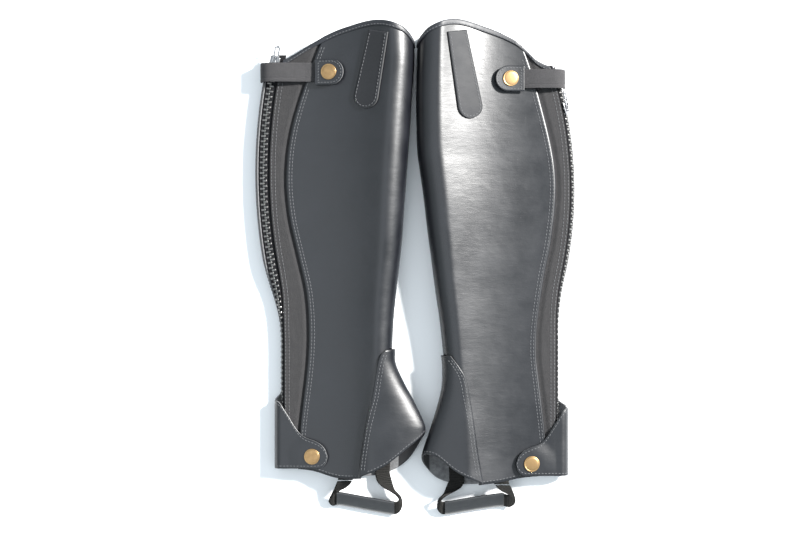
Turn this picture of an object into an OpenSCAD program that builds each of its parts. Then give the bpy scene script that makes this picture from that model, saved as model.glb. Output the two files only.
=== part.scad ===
// A pair of leather half chaps (riding gaiters) with a calf zip, lying flat side by side.
// Millimetres. +X to the right, +Y up the leg to the knee, +Z up from the surface they lie on.
// Each half chap is drawn in its own pattern frame: x = 0 near the shin, rear negative, y = 0 near
// the hem. The right one is the mirror of that frame, with its own list of curves.

/* [Leather] */
// Thickness of the leather panels
leather_t = 1.8; // [1.6:0.1:2]
// Depth of the double stitched overlap of leather on elastic
overlap = 8; // [6:1:10]
// Half thickness of the shin fold at the knee
fold_knee = 21; // [19:0.5:22]
// Half thickness of the shin fold at the ankle
fold_ankle = 15; // [14:0.5:16]
// Radius of the rear edge, where the tube turns under
rear_r = 7; // [7:0.25:8]

/* [Elastic] */
// Thickness of the calf stretch panel
elastic_t = 1.2; // [1:0.1:1.3]
// Width of the elastic in the top strap
strap_w = 18; // [16:1:20]
// Thickness of the strap elastic
strap_t = 1.5; // [1.2:0.1:1.6]
// Width of the elastic under the boot
foot_w = 14; // [12:1:16]

/* [Zip] */
// Half width of the closed chain
chain_half = 3.4; // [3.2:0.1:3.6]
// Thickness of the teeth
tooth_t = 2.4; // [2.2:0.1:2.6]
// Distance from one tooth to the next on the same tape
tooth_pitch = 5; // [4.5:0.25:6]
// Thickness of the zip tape
tape_t = 0.7; // [0.5:0.1:0.8]
// Length of the slider
slider_l = 13; // [11:0.5:14]
// Length of the pull from its bar
pull_l = 17; // [14:0.5:19]

/* [Snaps] */
// Diameter of the brass caps
cap_d = 15; // [13:0.5:16]
// Diameter of the sockets and studs
socket_d = 10.4; // [9:0.2:11]

/* [Hidden] */
$fn = 48;
gap = 0.3;
SIDES = ["left", "right"];
PIECES = ["outer_panel", "inner_panel", "calf_elastic", "top_binding", "swagger_tab", "vamp",
  "zip_tape_outer", "zip_tape_inner", "zip_teeth_outer", "zip_teeth_inner", "zip_stops",
  "snap_studs", "snap_rivets", "strap_elastic", "strap_tip", "strap_cap", "strap_socket",
  "heel_tab", "heel_cap", "heel_socket", "zip_slider", "zip_pull", "foot_elastic", "foot_sleeve"];

// Pattern curves as [height, x] or [x, height], first for the left, then for the right half chap
SHIN = [
  [[0, -28], [60, -26], [100, -23], [146, -21], [177, -18], [211, -14], [258, -10.5], [306, -7],
   [353, -4], [391, -1.6], [430, -3]],
  [[0, -34], [60, -31], [100, -27], [146, -22], [173, -18], [200, -14.5], [230, -10.5], [260, -7],
   [285, -3.5], [305, -1], [350, 0], [391, -0.8], [430, -2.5]]];
SEAM = [
  [[0, -112], [40, -110], [100, -103], [135, -101.5], [171, -104], [207, -112], [243, -120],
   [280, -123], [320, -119], [363, -107], [408, -90]],
  [[0, -126], [40, -122], [82, -117], [111, -114], [140, -115], [184, -121], [220, -128],
   [265, -132.5], [300, -130], [355, -117], [391, -106], [415, -96]]];
KNEE = [
  [[-150, 384], [-135, 388], [-123, 392], [-101, 405], [-88, 412], [-68, 420], [-38, 426],
   [-14, 420], [-5, 412], [-1, 404]],
  [[-156, 380], [-130, 384], [-114, 391], [-101, 404], [-88, 412], [-68, 420], [-38, 427],
   [-14, 420], [-5, 412], [0, 404]]];
HEM = [[[-140, 4], [-101, 2], [-74, -5], [-50, -5]], [[-146, -2], [-101, -5], [-80, -9], [-60, -11]]];
// The chain: radius of the calf curve, its centre, and the height where it turns straight
ZIP_R = [500, 380];
ZIP_C = [[355, 285], [231, 268]];
ZIP_TURN = [178, 186];
ZIP_FOOT_X = [-127, -134.5];
ZIP_END = [[8, 396], [2, 386]];
// How far the chain has rolled round the rear edge, in surface length, at the calf and the ankle
ROLL = [[1, -9], [-7.3, -9]];
// The fold of the heel tab, level with the rear edge
HEEL_X = [-134.5, -145];
HEEL_SHIFT = [[0, 0], [-11, -7]];
// The vamp: its front edge, its seam, and its lower edge on both sides of the foot
VAMP_FRONT = [
  [[36, 9], [45, 8.5], [68, -2], [85, -11], [104, -19], [117, -19.5]],
  [[12, -5], [18, -5.5], [41, -13], [60, -19], [81, -24], [100, -24.6], [112, -23.4]]];
VAMP_SEAM = [
  [[-5, -54], [17, -51.5], [51, -46], [73, -41], [97, -37], [112, -33], [117, -27]],
  [[-12, -63], [20, -57.5], [45, -54], [70, -50], [90, -46], [101, -40], [111, -32]]];
VAMP_TOP = [117, 111];
VAMP_LOW = [
  [[0, -4], [0.25, 8], [0.5, 24], [0.75, 34], [1, 40]],
  [[0, -10], [0.25, 1], [0.5, 15], [0.75, 18], [1, 15]]];
VAMP_LOW_IN = [
  [[0, -5], [0.25, -2], [0.5, 10], [0.75, 30], [1, 40]],
  [[0, -12], [0.25, -12], [0.5, -7], [0.75, 5], [1, 15]]];
// Straps and tabs
STRAP_Y = [379, 373];
STRAP_SNAP_X = [-81.5, -88.5];
HEEL_SNAP = [-98, 15.5];
TAB_TOP = [[-34, 421], [-37, 421.5]];
TAB_END = [[-49, 344], [-52.5, 335]];
SLIDER_Y = [388, 345];
HEEL_UP = [[-136, 68], [-130, 66], [-124, 58], [-114, 42], [-107, 34.5], [-97, 30.5], [-90, 27],
  [-85.5, 22], [-83.2, 15.5]];
HEEL_DOWN = [[-136, 3.5], [-100, 4], [-92, 4.2], [-88, 5.5], [-84.8, 9.5], [-83.2, 15]];
// Route of the elastic under the boot: its middle, and the direction of its width
FOOT_ROUTE = [
  [[-67, -6, 17], [-69, -11, 15.5], [-74, -18, 12.5], [-79.5, -23, 10], [-79, -26.5, 8], [-72, -26, 7],
   [-47, -30.5, 7], [-24, -34.5, 7], [-17, -33.5, 8.5], [-15.5, -27, 10.5], [-20, -21, 9.5],
   [-27, -15, 8], [-31, -6, 7], [-32, 1, 6.4]],
  [[-81, -10, 17], [-84, -15, 15.5], [-88, -21, 12.5], [-91, -25, 10], [-88, -28, 8], [-80, -27, 7],
   [-55, -30.5, 7], [-31, -34.5, 7], [-24, -34, 8.5], [-22.5, -29, 10.5], [-27, -23.5, 9.5],
   [-33, -19, 8], [-37, -13, 7], [-39, -8, 6.4]]];
FOOT_ACROSS = [[1, 0, 0], [1, 0.1, 0.1], [0.9, 0.4, 0.3], [0.5, 0.8, 0.5], [0.1, 0.9, 0.5],
  [0, 0.85, 0.5], [0, 0.85, 0.5], [0, 0.85, 0.5], [0, 0.9, 0.5], [-0.3, 0.9, 0.5], [-0.8, 0.5, 0.4],
  [-0.95, 0.3, 0.2], [-1, -0.2, 0], [-1, 0, 0]];

tape_depth = leather_t + gap + tape_t / 2;
edge = 6.2;
heel_r = 8;
lift = 3.2;
cap_h = 1.2;
CREST = 0.03;
// Clear channel and outside of the binding, either side of the leather
bind_in = 0.6;
bind_out = 1.35;
// From the pattern frame to the middle of the pair
ORIGIN = [0.5, -192.5, 0];

// Interpolation -------------------------------------------------------------------------------
function mix(a, b, t) = a + (b - a) * t;
function clamp(v, lo, hi) = min(hi, max(lo, v));
function ease(a, b, v) = let(t = clamp((v - a) / (b - a), 0, 1)) t * t * (3 - 2 * t);
function span(k, pts, i = 0) = (i >= len(pts) - 2 || k < pts[i + 1][0]) ? i : span(k, pts, i + 1);
function slope(pts, i) =
  let(a = max(i - 1, 0), b = min(i + 1, len(pts) - 1)) (pts[b][1] - pts[a][1]) / (pts[b][0] - pts[a][0]);
// A smooth curve through key points [key, value], level beyond both ends
function curve(key, pts) =
  let(k = clamp(key, pts[0][0], pts[len(pts) - 1][0]), i = span(k, pts), h = pts[i + 1][0] - pts[i][0],
      t = (k - pts[i][0]) / h)
  (2 * t * t * t - 3 * t * t + 1) * pts[i][1] + (t * t * t - 2 * t * t + t) * h * slope(pts, i)
  + (3 * t * t - 2 * t * t * t) * pts[i + 1][1] + (t * t * t - t * t) * h * slope(pts, i + 1);

// The lying shape of one half chap --------------------------------------------------------------
function shin_x(s, y) = curve(y, SHIN[s]);
function seam_x(s, y) = curve(y, SEAM[s]);
function knee_y(s, x) = curve(x, KNEE[s]);
function hem_y(s, x) = curve(x, HEM[s]);
function fold_r(y) = mix(fold_ankle, fold_knee, ease(60, 330, y));
function fold_a(y) = 0.95 * fold_r(y);
function crest_x(s, y) = shin_x(s, y) - fold_a(y);

// Chain line: a circular calf curve, a counter curve and a straight foot
function turn_angle(s) = asin((ZIP_C[s][1] - ZIP_TURN[s]) / ZIP_R[s]);
function turn_x(s) = ZIP_C[s][0] - ZIP_R[s] * cos(turn_angle(s));
function turn_r(s) = (ZIP_FOOT_X[s] - turn_x(s)) / (1 - cos(turn_angle(s)));
function straight_y(s) = ZIP_TURN[s] - turn_r(s) * sin(turn_angle(s));
function zip_x(s, y) =
  y > ZIP_TURN[s] ? ZIP_C[s][0] - sqrt(pow(ZIP_R[s], 2) - pow(y - ZIP_C[s][1], 2)) :
  y > straight_y(s) ? ZIP_FOOT_X[s] - turn_r(s) + sqrt(pow(turn_r(s), 2) - pow(y - straight_y(s), 2)) :
  ZIP_FOOT_X[s];
function roll(s, y) = mix(ROLL[s][1], ROLL[s][0], ease(130, 205, y));
function roll_angle(w) = w < 0 ? -w / rear_r * 180 / PI : 0;
// Middle of the rear round: the chain lies on it, or just in front of it
function rear_x(s, y) =
  let(w = roll(s, y)) zip_x(s, y) + (w < 0 ? (rear_r - tape_depth) * sin(roll_angle(w)) : -w);

// A point of the cross section at height y: w is the surface length in front of the rear round, and
// d is the depth below the outer surface
// Share of the way down the top face, level where it leaves the fold
function settled(q) = (sqrt(q * q + pow(CREST, 2)) - CREST) / (sqrt(1 + pow(CREST, 2)) - CREST);
function top_z(s, y, x) =
  let(c = crest_x(s, y), q = clamp((c - x) / (c - rear_x(s, y)), 0, 1))
  2 * rear_r + (2 * fold_r(y) - 2 * rear_r) * (1 + cos(180 * sqrt(settled(q)))) / 2;
function on_top(s, y, x, d) =
  let(g = (top_z(s, y, x + 0.1) - top_z(s, y, x - 0.1)) / 0.2, n = sqrt(1 + g * g))
  [x + d * g / n, y, top_z(s, y, x) - d / n];
function on_rear(s, y, b, d) =
  [rear_x(s, y) - (rear_r - d) * sin(b), y, rear_r + (rear_r - d) * cos(b)];
function on_fold(s, y, f, d, a, r, z) =
  let(n = [cos(f) / a, sin(f) / r], m = norm(n))
  [crest_x(s, y) + a * cos(f) - d * n[0] / m, y, z + r * sin(f) - d * n[1] / m];
function at_surface(s, y, w, d) =
  w < 0 ? on_rear(s, y, roll_angle(w), d) : on_top(s, y, rear_x(s, y) + w, d);
function drape(s, x, y, d) =
  x > crest_x(s, y) ?
    on_fold(s, y, acos(clamp((x - crest_x(s, y)) / fold_a(y), -1, 1)), d, fold_a(y), fold_r(y), fold_r(y)) :
  x > rear_x(s, y) ? on_top(s, y, x, d) :
    on_rear(s, y, asin(clamp((rear_x(s, y) - x) / rear_r, -1, 1)), d);
function lean(s, x, y) = atan((top_z(s, y, x + 2) - top_z(s, y, x - 2)) / 4);

// A closed sheet from two grids of points, outer face first
module sheet(outer, inner) {
  nr = len(outer);
  nc = len(outer[0]);
  n = nr * nc;
  points = [for (g = [outer, inner], r = g, p = r) p];
  rim = concat([for (c = [0:nc - 1]) c], [for (r = [1:nr - 1]) r * nc + nc - 1],
    [for (c = [nc - 2:-1:0]) (nr - 1) * nc + c], [for (r = [nr - 2:-1:1]) r * nc]);
  m = len(rim);
  faces = concat(
    [for (r = [0:nr - 2], c = [0:nc - 2]) let(a = r * nc + c) each
      [[a, a + nc, a + nc + 1], [a, a + nc + 1, a + 1]]],
    [for (r = [0:nr - 2], c = [0:nc - 2]) let(a = n + r * nc + c) each
      [[a, a + nc + 1, a + nc], [a, a + 1, a + nc + 1]]],
    [for (i = [0:m - 1]) let(a = rim[i], b = rim[(i + 1) % m]) each
      [[a, b, n + b], [a, n + b, n + a]]]);
  polyhedron(points, faces, convexity = 6);
}

function steps(n) = [for (i = [0:n]) i / n];

// Leather panels ----------------------------------------------------------------------------------
// Outer panel: k runs 0 to 1 round the shin fold from below, then 1 to 2 over the top to the seam
FOLD_FROM = -70;
function outer_section(s, y, k, d) =
  k < 1 ? on_fold(s, y, mix(FOLD_FROM, 90, k), d, fold_a(y), fold_r(y), fold_r(y)) :
  on_top(s, y, mix(crest_x(s, y), seam_x(s, y), k - 1), d);
function outer_low(s, k, x) =
  k > 1.14 ? hem_y(s, x) : curve(k, [[0, VAMP_TOP[s] + 1.5], [0.5, VAMP_TOP[s] + 1], [0.8, VAMP_TOP[s] - 9],
    [1, 62], [1.07, 30], [1.14, 0]]);
function outer_y(s, k, v, n = 3) =
  n == 0 ? mix(0, 410, v) :
  let(x = outer_section(s, outer_y(s, k, v, n - 1), k, 0)[0]) mix(outer_low(s, k, x), knee_y(s, x), v);
module outer_skin(s) {
  ks = [0, 0.17, 0.34, 0.5, 0.63, 0.76, 0.88, 1, 1.04, 1.09, 1.14, 1.2, 1.32, 1.45, 1.6, 1.75, 1.88, 2];
  rows = [for (v = steps(34)) [for (k = ks) [outer_y(s, k, v), k]]];
  sheet([for (r = rows) [for (p = r) outer_section(s, p[0], p[1], 0)]],
    [for (r = rows) [for (p = r) outer_section(s, p[0], p[1], leather_t)]]);
}
module snap_frame(s, i) {
  x = i == 0 ? STRAP_SNAP_X[s] : HEEL_SNAP[0] + HEEL_SHIFT[s][0];
  y = i == 0 ? STRAP_Y[s] : HEEL_SNAP[1] + HEEL_SHIFT[s][1];
  translate(drape(s, x, y, 0)) rotate([0, -lean(s, x, y), 0]) children();
}
module outer_panel(s) {
  color([0.15, 0.17, 0.21]) difference() {
    outer_skin(s);
    for (i = [0, 1]) snap_frame(s, i) translate([0, 0, -4]) cylinder(r = 1.8, h = 8);
  }
}

// Inner panel: k runs 0 to 1 under the shin, 1 to 2 along the floor, 2 to 3 round the rear edge
function heel_zone(s, y) =
  let(top = HEEL_UP[1][1] + HEEL_SHIFT[s][1]) 1 - ease(top + 2, top + 10, y);
function inner_rear_x(s, y) = mix(rear_x(s, y), HEEL_X[s] + heel_r, heel_zone(s, y));
function inner_rear_r(s, y) = mix(rear_r, heel_r, heel_zone(s, y));
function inner_end(s, y) = mix((edge - roll(s, y)) / rear_r * 180 / PI, 99, heel_zone(s, y));
function inner_section(s, y, k, d) =
  k < 1 ? on_fold(s, y, mix(FOLD_FROM - 3, -90, k), d, fold_a(y), fold_r(y), fold_r(y)) :
  k < 2 ? [mix(crest_x(s, y), inner_rear_x(s, y), k - 1), y, d] :
  let(b = mix(180, inner_end(s, y), k - 2), r = inner_rear_r(s, y))
  [inner_rear_x(s, y) - (r - d) * sin(b), y, r + (r - d) * cos(b)];
function inner_low(s, k, x) =
  k > 1.14 ? hem_y(s, x) + 0.5 :
  curve(k, [[0, VAMP_TOP[s] + 1.5], [0.8, VAMP_TOP[s] + 1], [1, VAMP_TOP[s] - 20],
    [1.07, 40], [1.14, 0]]);
function inner_y(s, k, v, n = 3) =
  n == 0 ? mix(0, 400, v) :
  let(x = inner_section(s, inner_y(s, k, v, n - 1), k, 0)[0]) mix(inner_low(s, k, x), knee_y(s, x) - 6, v);
module inner_panel(s) {
  ks = [0, 0.5, 1, 1.07, 1.14, 1.25, 1.45, 1.65, 1.85, 2, 2.25, 2.5, 2.75, 3];
  rows = [for (v = steps(34)) [for (k = ks) [inner_y(s, k, v), k]]];
  color([0.12, 0.13, 0.16]) sheet([for (r = rows) [for (p = r) inner_section(s, p[0], p[1], 0)]],
    [for (r = rows) [for (p = r) inner_section(s, p[0], p[1], leather_t)]]);
}

// Calf elastic, from under the leather seam (k = 0) to beside the chain (k = 1)
function elastic_w(s, y, k) = mix(seam_x(s, y) + overlap - rear_x(s, y), roll(s, y) + edge, k);
function elastic_depth(s, y, w) =
  mix(0.6, leather_t + gap, ease(-6, -1, w + rear_x(s, y) - seam_x(s, y)));
function elastic_y(s, k, v, n = 3) =
  n == 0 ? mix(0, 400, v) :
  let(x = at_surface(s, elastic_y(s, k, v, n - 1), elastic_w(s, elastic_y(s, k, v, n - 1), k), 0)[0])
  mix(hem_y(s, x) + 0.5, knee_y(s, x) - mix(5.4, 0.5, ease(0.25, 0.33, k)), v);
module calf_elastic(s) {
  ks = [0, 0.18, 0.27, 0.36, 0.5, 0.65, 0.8, 0.9, 1];
  rows = [for (v = steps(28)) [for (k = ks) let(y = elastic_y(s, k, v)) [y, elastic_w(s, y, k)]]];
  color([0.26, 0.26, 0.27]) sheet(
    [for (r = rows) [for (p = r) at_surface(s, p[0], p[1], elastic_depth(s, p[0], p[1]))]],
    [for (r = rows) [for (p = r) at_surface(s, p[0], p[1], elastic_depth(s, p[0], p[1]) + elastic_t)]]);
}

// Binding folded over the top edge: a U section that runs along the leather and the elastic
function bind_point(s, k, d, drop) =
  k < 2 ? outer_section(s, outer_y(s, k, 1) - drop, k, d) :
  let(e = mix(0.36, 1, k - 2), y = elastic_y(s, e, 1) - drop, w = elastic_w(s, y, e))
  at_surface(s, y, w, elastic_depth(s, y, w) + d - (d > 0 ? leather_t - elastic_t : 0));
module top_binding(s) {
  ks = [0.34, 0.5, 0.63, 0.76, 0.88, 1, 1.04, 1.09, 1.14, 1.2, 1.32, 1.45, 1.6, 1.75, 1.88, 1.94,
    1.995, 2, 2.1, 2.219, 2.453, 2.6875];
  rings = [for (k = ks) [
    bind_point(s, k, -bind_out, 4.5), bind_point(s, k, -bind_out, -1.3),
    bind_point(s, k, leather_t + bind_out, -1.3), bind_point(s, k, leather_t + bind_out, 4.5),
    bind_point(s, k, leather_t + bind_in, 4.5), bind_point(s, k, leather_t + bind_in, -0.5),
    bind_point(s, k, -bind_in, -0.5), bind_point(s, k, -bind_in, 4.5)]];
  color([0.09, 0.1, 0.12]) tube(rings);
}
// A closed bar from rings of points
module tube(rings) {
  n = len(rings[0]);
  m = len(rings);
  points = [for (r = rings, p = r) p];
  faces = concat([for (j = [0:m - 2], i = [0:n - 1]) let(a = j * n + i, b = j * n + (i + 1) % n) each
      [[a, b, b + n], [a, b + n, a + n]]],
    [[for (i = [n - 1:-1:0]) i]], [[for (i = [0:n - 1]) (m - 1) * n + i]]);
  polyhedron(points, faces, convexity = 6);
}

// Upright tab at the knee: a strip with a round lower end that lies on the outer panel
module swagger_tab(s) {
  a = TAB_TOP[s];
  b = TAB_END[s];
  length = norm(b - a);
  along = (b - a) / length;
  across = [along[1], -along[0]];
  ls = concat([for (t = steps(9)) 5 + t * (length - 17)], [for (f = [15:15:88]) length - 12 + 12 * sin(f)]);
  grid = [for (l = ls) let(w = mix(9, 12, l / length) * (l > length - 12 ?
      sqrt(max(0.01, 1 - pow((l - length + 12) / 12, 2))) : 1))
    [for (u = [-1:0.25:1]) a + along * l + across * w * u]];
  color([0.14, 0.16, 0.2]) sheet([for (r = grid) [for (p = r) drape(s, p[0], p[1], -1.8)]],
    [for (r = grid) [for (p = r) drape(s, p[0], p[1], -gap)]]);
}

// Vamp: u runs 0 to 1 from the outer seam to the front edge, and 1 to 2 back under the foot
function vamp_point(s, y, u, d) =
  let(front = curve(y, VAMP_FRONT[s]), seam = curve(y, VAMP_SEAM[s]), c = crest_x(s, y), a = front - c,
      x = mix(seam, front, sin(90 * (u > 1 ? 2 - u : u))), rise = leather_t + 2 * gap)
  u <= 1 ? (x > c ? on_fold(s, y, acos(clamp((x - c) / a, -1, 1)), d, a, fold_r(y), fold_r(y) + rise) :
    on_top(s, y, x, d - rise)) :
  x > c ? on_fold(s, y, -acos(clamp((x - c) / a, -1, 1)), d, a, fold_r(y), fold_r(y) + rise) :
  [x, y, rise + d];
function vamp_y(s, u, v) =
  mix(u <= 1 ? curve(u, VAMP_LOW[s]) : curve(2 - u, VAMP_LOW_IN[s]), VAMP_TOP[s], v);
module vamp(s) {
  rows = [for (v = steps(14)) [for (u = [0:0.125:2]) [vamp_y(s, u, v), u]]];
  color([0.15, 0.17, 0.21]) sheet([for (r = rows) [for (p = r) vamp_point(s, p[0], p[1], 0)]],
    [for (r = rows) [for (p = r) vamp_point(s, p[0], p[1], leather_t)]]);
}

// Zip ---------------------------------------------------------------------------------------------
// Frame of the chain at height y: X across it towards the shin, Y up along it, Z outwards
function zip_tilt(s, y) = -atan((zip_x(s, y + 0.5) - zip_x(s, y - 0.5)));
module zip_frame(s, y) {
  translate(at_surface(s, y, roll(s, y), tape_depth)) rotate([0, 0, zip_tilt(s, y)])
    rotate([0, -roll_angle(roll(s, y)), 0]) children();
}
function tape_point(s, y, l, d) =
  let(w = roll(s, y), b = roll_angle(w), o = at_surface(s, y, w, tape_depth + d),
      flat = [o[0] + l * cos(b), y, o[2] + l * sin(b)], under = at_surface(s, y, w + l, tape_depth + d))
  mix(flat, under, ease(3, 6, abs(l)));
// Distances of the tape's grid lines from the chain's middle
TAPE_ROW = [0.8, 3, 4.2, 5.2, 6.2, 7.8, 9.4];
module zip_tape(s, side) {
  color([0.1, 0.1, 0.11]) sheet(
    [for (v = steps(26)) let(y = mix(ZIP_END[s][0], ZIP_END[s][1], v))
      [for (l = TAPE_ROW) tape_point(s, y, side * l, -tape_t / 2)]],
    [for (v = steps(26)) let(y = mix(ZIP_END[s][0], ZIP_END[s][1], v))
      [for (l = TAPE_ROW) tape_point(s, y, side * l, tape_t / 2)]]);
}
module zip_tape_outer(s) { zip_tape(s, 1); }
module zip_tape_inner(s) { zip_tape(s, -1); }
module zip_teeth(s, side) {
  first = ZIP_END[s][0] + 6 + (side > 0 ? tooth_pitch / 2 : 0);
  color([0.2, 0.2, 0.21]) for (y = [first:tooth_pitch:ZIP_END[s][1] - 4])
    zip_frame(s, y) translate([side > 0 ? 0.6 : -chain_half, -1, -tooth_t / 2])
      cube([chain_half - 0.6, 2, tooth_t]);
}
module zip_teeth_outer(s) { zip_teeth(s, 1); }
module zip_teeth_inner(s) { zip_teeth(s, -1); }
module zip_stops(s) {
  color("silver") {
    for (side = [-1, 1]) zip_frame(s, ZIP_END[s][1] - 1.5)
      translate([side * 2 - 1.1, -1, -1.4]) cube([2.2, 2, 2.8]);
    zip_frame(s, ZIP_END[s][0] + 1.5) translate([-chain_half, -2, -1.6]) cube([2 * chain_half, 4, 3.2]);
  }
}
module zip_slider(s) {
  color("silver") zip_frame(s, SLIDER_Y[s]) {
    translate([-4.6, -slider_l / 2, 1.5]) cube([9.2, slider_l, 1.2]);
    translate([-3.2, -slider_l / 2, -2.7]) cube([6.4, slider_l, 1.2]);
    translate([-0.4, 1, -1.6]) cube([0.8, slider_l / 2 - 1, 3.2]);
    for (y = [-2.8, 1.8]) translate([-1.1, y, 2.6]) cube([2.2, 1, 2.6]);
    translate([-1.1, -2.8, 4.4]) cube([2.2, 5.6, 0.9]);
  }
}
module zip_pull(s) {
  color("silver") zip_frame(s, SLIDER_Y[s]) translate([0, 0, 3.6]) {
    translate([-2.7, 0, 0]) rotate([0, 90, 0]) cylinder(r = 0.6, h = 5.4);
    for (x = [-2.7, 1.5]) translate([x, 0, -0.6]) cube([1.2, 6, 1.2]);
    translate([-2.7, 5.5, -0.6]) difference() {
      cube([5.4, pull_l - 5.5, 1.2]);
      translate([1.5, 1.5, -1]) cube([2.4, pull_l - 9.5, 3.2]);
    }
  }
}

// Snaps -------------------------------------------------------------------------------------------
module snap_studs(s) {
  color("goldenrod") for (i = [0, 1]) snap_frame(s, i) {
    translate([0, 0, 0.45]) cylinder(d = socket_d - 1, h = 0.4);
    translate([0, 0, 0.3]) cylinder(r = 2.5, h = 1.4);
    translate([0, 0, -leather_t - 0.3]) cylinder(r = 1.6, h = leather_t + 0.6);
  }
}
module snap_rivets(s) {
  color("goldenrod") for (i = [0, 1]) snap_frame(s, i)
    translate([0, 0, -leather_t - 1.1]) cylinder(d = 8, h = 0.8);
}
module snap_socket(s, i) {
  color("goldenrod") snap_frame(s, i) difference() {
    translate([0, 0, 0.95]) cylinder(d = socket_d, h = lift - 1.35);
    cylinder(r = 3.1, h = 2.4);
  }
}
module snap_cap(s, i) {
  top = lift + leather_t + 0.4;
  color([0.8, 0.63, 0.37]) snap_frame(s, i) {
    translate([0, 0, top]) rotate_extrude() polygon([[0, 0], [cap_d / 2 - 0.3, 0], [cap_d / 2, 0.3],
      [cap_d / 2 - 0.1, 0.7], [cap_d / 2 - 1, cap_h], [0, cap_h]]);
    translate([0, 0, lift - 0.4]) cylinder(r = 1.5, h = leather_t + 0.9);
  }
}
module strap_cap(s) { snap_cap(s, 0); }
module heel_cap(s) { snap_cap(s, 1); }
module strap_socket(s) { snap_socket(s, 0); }
module heel_socket(s) { snap_socket(s, 1); }

// Top strap ---------------------------------------------------------------------------------------
strap_pivot = [for (s = [0, 1])
  [min(rear_x(s, STRAP_Y[s] - 9), rear_x(s, STRAP_Y[s] + 9)) - rear_r - 1.1, rear_r - 1.5]];
// Middle of the strap elastic: it climbs the rear edge, clears the slider and lies on the leather
function strap_point(s, u) =
  let(p = strap_pivot[s], x1 = STRAP_SNAP_X[s] - 10,
      x = curve(u, [[0, p[0]], [0.1, p[0] - 0.3], [0.2, p[0] + 1.6], [0.3, p[0] + 6.5],
        [0.45, p[0] + 15], [0.65, p[0] + 28], [1, x1]]),
      near = top_z(s, STRAP_Y[s], x) + 0.95 + strap_t / 2)
  [x, curve(u, [[0, p[1]], [0.1, 11], [0.2, 16.5], [0.3, 19.8], [0.45, 20.6],
    [0.65, max(19.8, near)], [1, near]])];
module strap_elastic(s) {
  us = [0, 0.05, 0.1, 0.15, 0.2, 0.25, 0.3, 0.37, 0.45, 0.55, 0.65, 0.76, 0.88, 1];
  function side(u, d) = let(p = strap_point(s, u),
    q = strap_point(s, min(1, u + 0.01)) - strap_point(s, max(0, u - 0.01)),
    n = [-q[1], q[0]] / norm(q)) p + n * d;
  function row(u, d) = [for (w = [-1, 0, 1]) let(p = side(u, d)) [p[0], STRAP_Y[s] + w * strap_w / 2, p[1]]];
  color([0.3, 0.3, 0.31]) sheet([for (u = us) row(u, strap_t / 2)], [for (u = us) row(u, -strap_t / 2)]);
}
module strap_tip(s) {
  r = 12;
  c = STRAP_SNAP_X[s] + 2;
  xs = concat([for (t = steps(5)) mix(c - 15.5, c, t)], [for (f = [15:15:88]) c + r * sin(f)]);
  grid = [for (x = xs) let(w = x > c ? sqrt(max(0.01, r * r - pow(x - c, 2))) : r)
    [for (u = [-1:0.25:1]) [x, STRAP_Y[s] + w * u]]];
  color([0.13, 0.15, 0.19]) difference() {
    sheet([for (g = grid) [for (p = g) drape(s, p[0], p[1], -lift - leather_t)]],
      [for (g = grid) [for (p = g) drape(s, p[0], p[1], -lift)]]);
    snap_frame(s, 0) cylinder(r = 1.6, h = 9);
  }
}

// Heel tab: k runs 0 to 1 round the rear edge and 1 to 2 over the top to the round tip
function heel_lift(s, x, y) =
  let(c = HEEL_SNAP + HEEL_SHIFT[s], r = min(1, norm([x - c[0], y - c[1]]) / 26))
  0.5 + (lift - 0.5) * pow(1 - r * r * r, 2);
function heel_point(s, k, v, d) =
  let(c = HEEL_X[s] + heel_r, o = HEEL_SHIFT[s][0], tip = -83.3 + o,
      x = k < 1 ? c - heel_r * sin(mix(95, 0, k)) : c + (tip - c) * sin(90 * (k - 1)),
      y = HEEL_SHIFT[s][1] + mix(curve(x - o, HEEL_DOWN), curve(x - o, HEEL_UP), v))
  k < 1 ? [c - (heel_r - d) * sin(mix(95, 0, k)), y, heel_r + (heel_r - d) * cos(mix(95, 0, k))] :
  let(p = drape(s, x, y, d - heel_lift(s, x, y) - leather_t), e = ease(0, 9, x - c), z = 2 * heel_r - d)
  [mix(x, p[0], e), y, max(mix(z, p[2], e), x - c < 9 ? z : 0)];
module heel_tab(s) {
  ks = [0, 0.2, 0.4, 0.6, 0.8, 1, 1.06, 1.12, 1.2, 1.3, 1.4, 1.5, 1.6, 1.7, 1.8, 1.9, 1.97];
  color([0.14, 0.16, 0.2]) difference() {
    sheet([for (k = ks) [for (v = steps(10)) heel_point(s, k, v, 0)]],
      [for (k = ks) [for (v = steps(10)) heel_point(s, k, v, leather_t)]]);
    snap_frame(s, 1) cylinder(r = 1.6, h = 9);
  }
}

// Elastic under the boot and its sleeve -----------------------------------------------------------
function pick(pts, j) = [for (k = [0:len(pts) - 1]) [k, pts[k][j]]];
function foot_mid(s, t) = [for (j = [0:2]) curve(t, pick(FOOT_ROUTE[s], j))];
function foot_side(t) = let(v = [for (j = [0:2]) curve(t, pick(FOOT_ACROSS, j))]) v / norm(v);
module ribbon(s, from, to, n, w, low, high) {
  function frame(t) = let(a = foot_side(t), q = foot_mid(s, t + 0.02) - foot_mid(s, t - 0.02),
    m = cross(q, a)) [a, m / norm(m)];
  function row(t, d) = let(f = frame(t)) [for (u = [-1, 0, 1]) foot_mid(s, t) + f[0] * u * w / 2 + f[1] * d];
  ts = [for (v = steps(n)) mix(from, to, v)];
  sheet([for (t = ts) row(t, high)], [for (t = ts) row(t, low)]);
}
module foot_elastic(s) { color([0.13, 0.13, 0.13]) ribbon(s, 0.45, 12.6, 44, foot_w, -0.6, 0.6); }
module foot_sleeve(s) {
  color([0.05, 0.05, 0.05]) for (d = [-2, 0.9]) ribbon(s, 4.7, 7.3, 12, foot_w + 2, d, d + 1.1);
}

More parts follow.
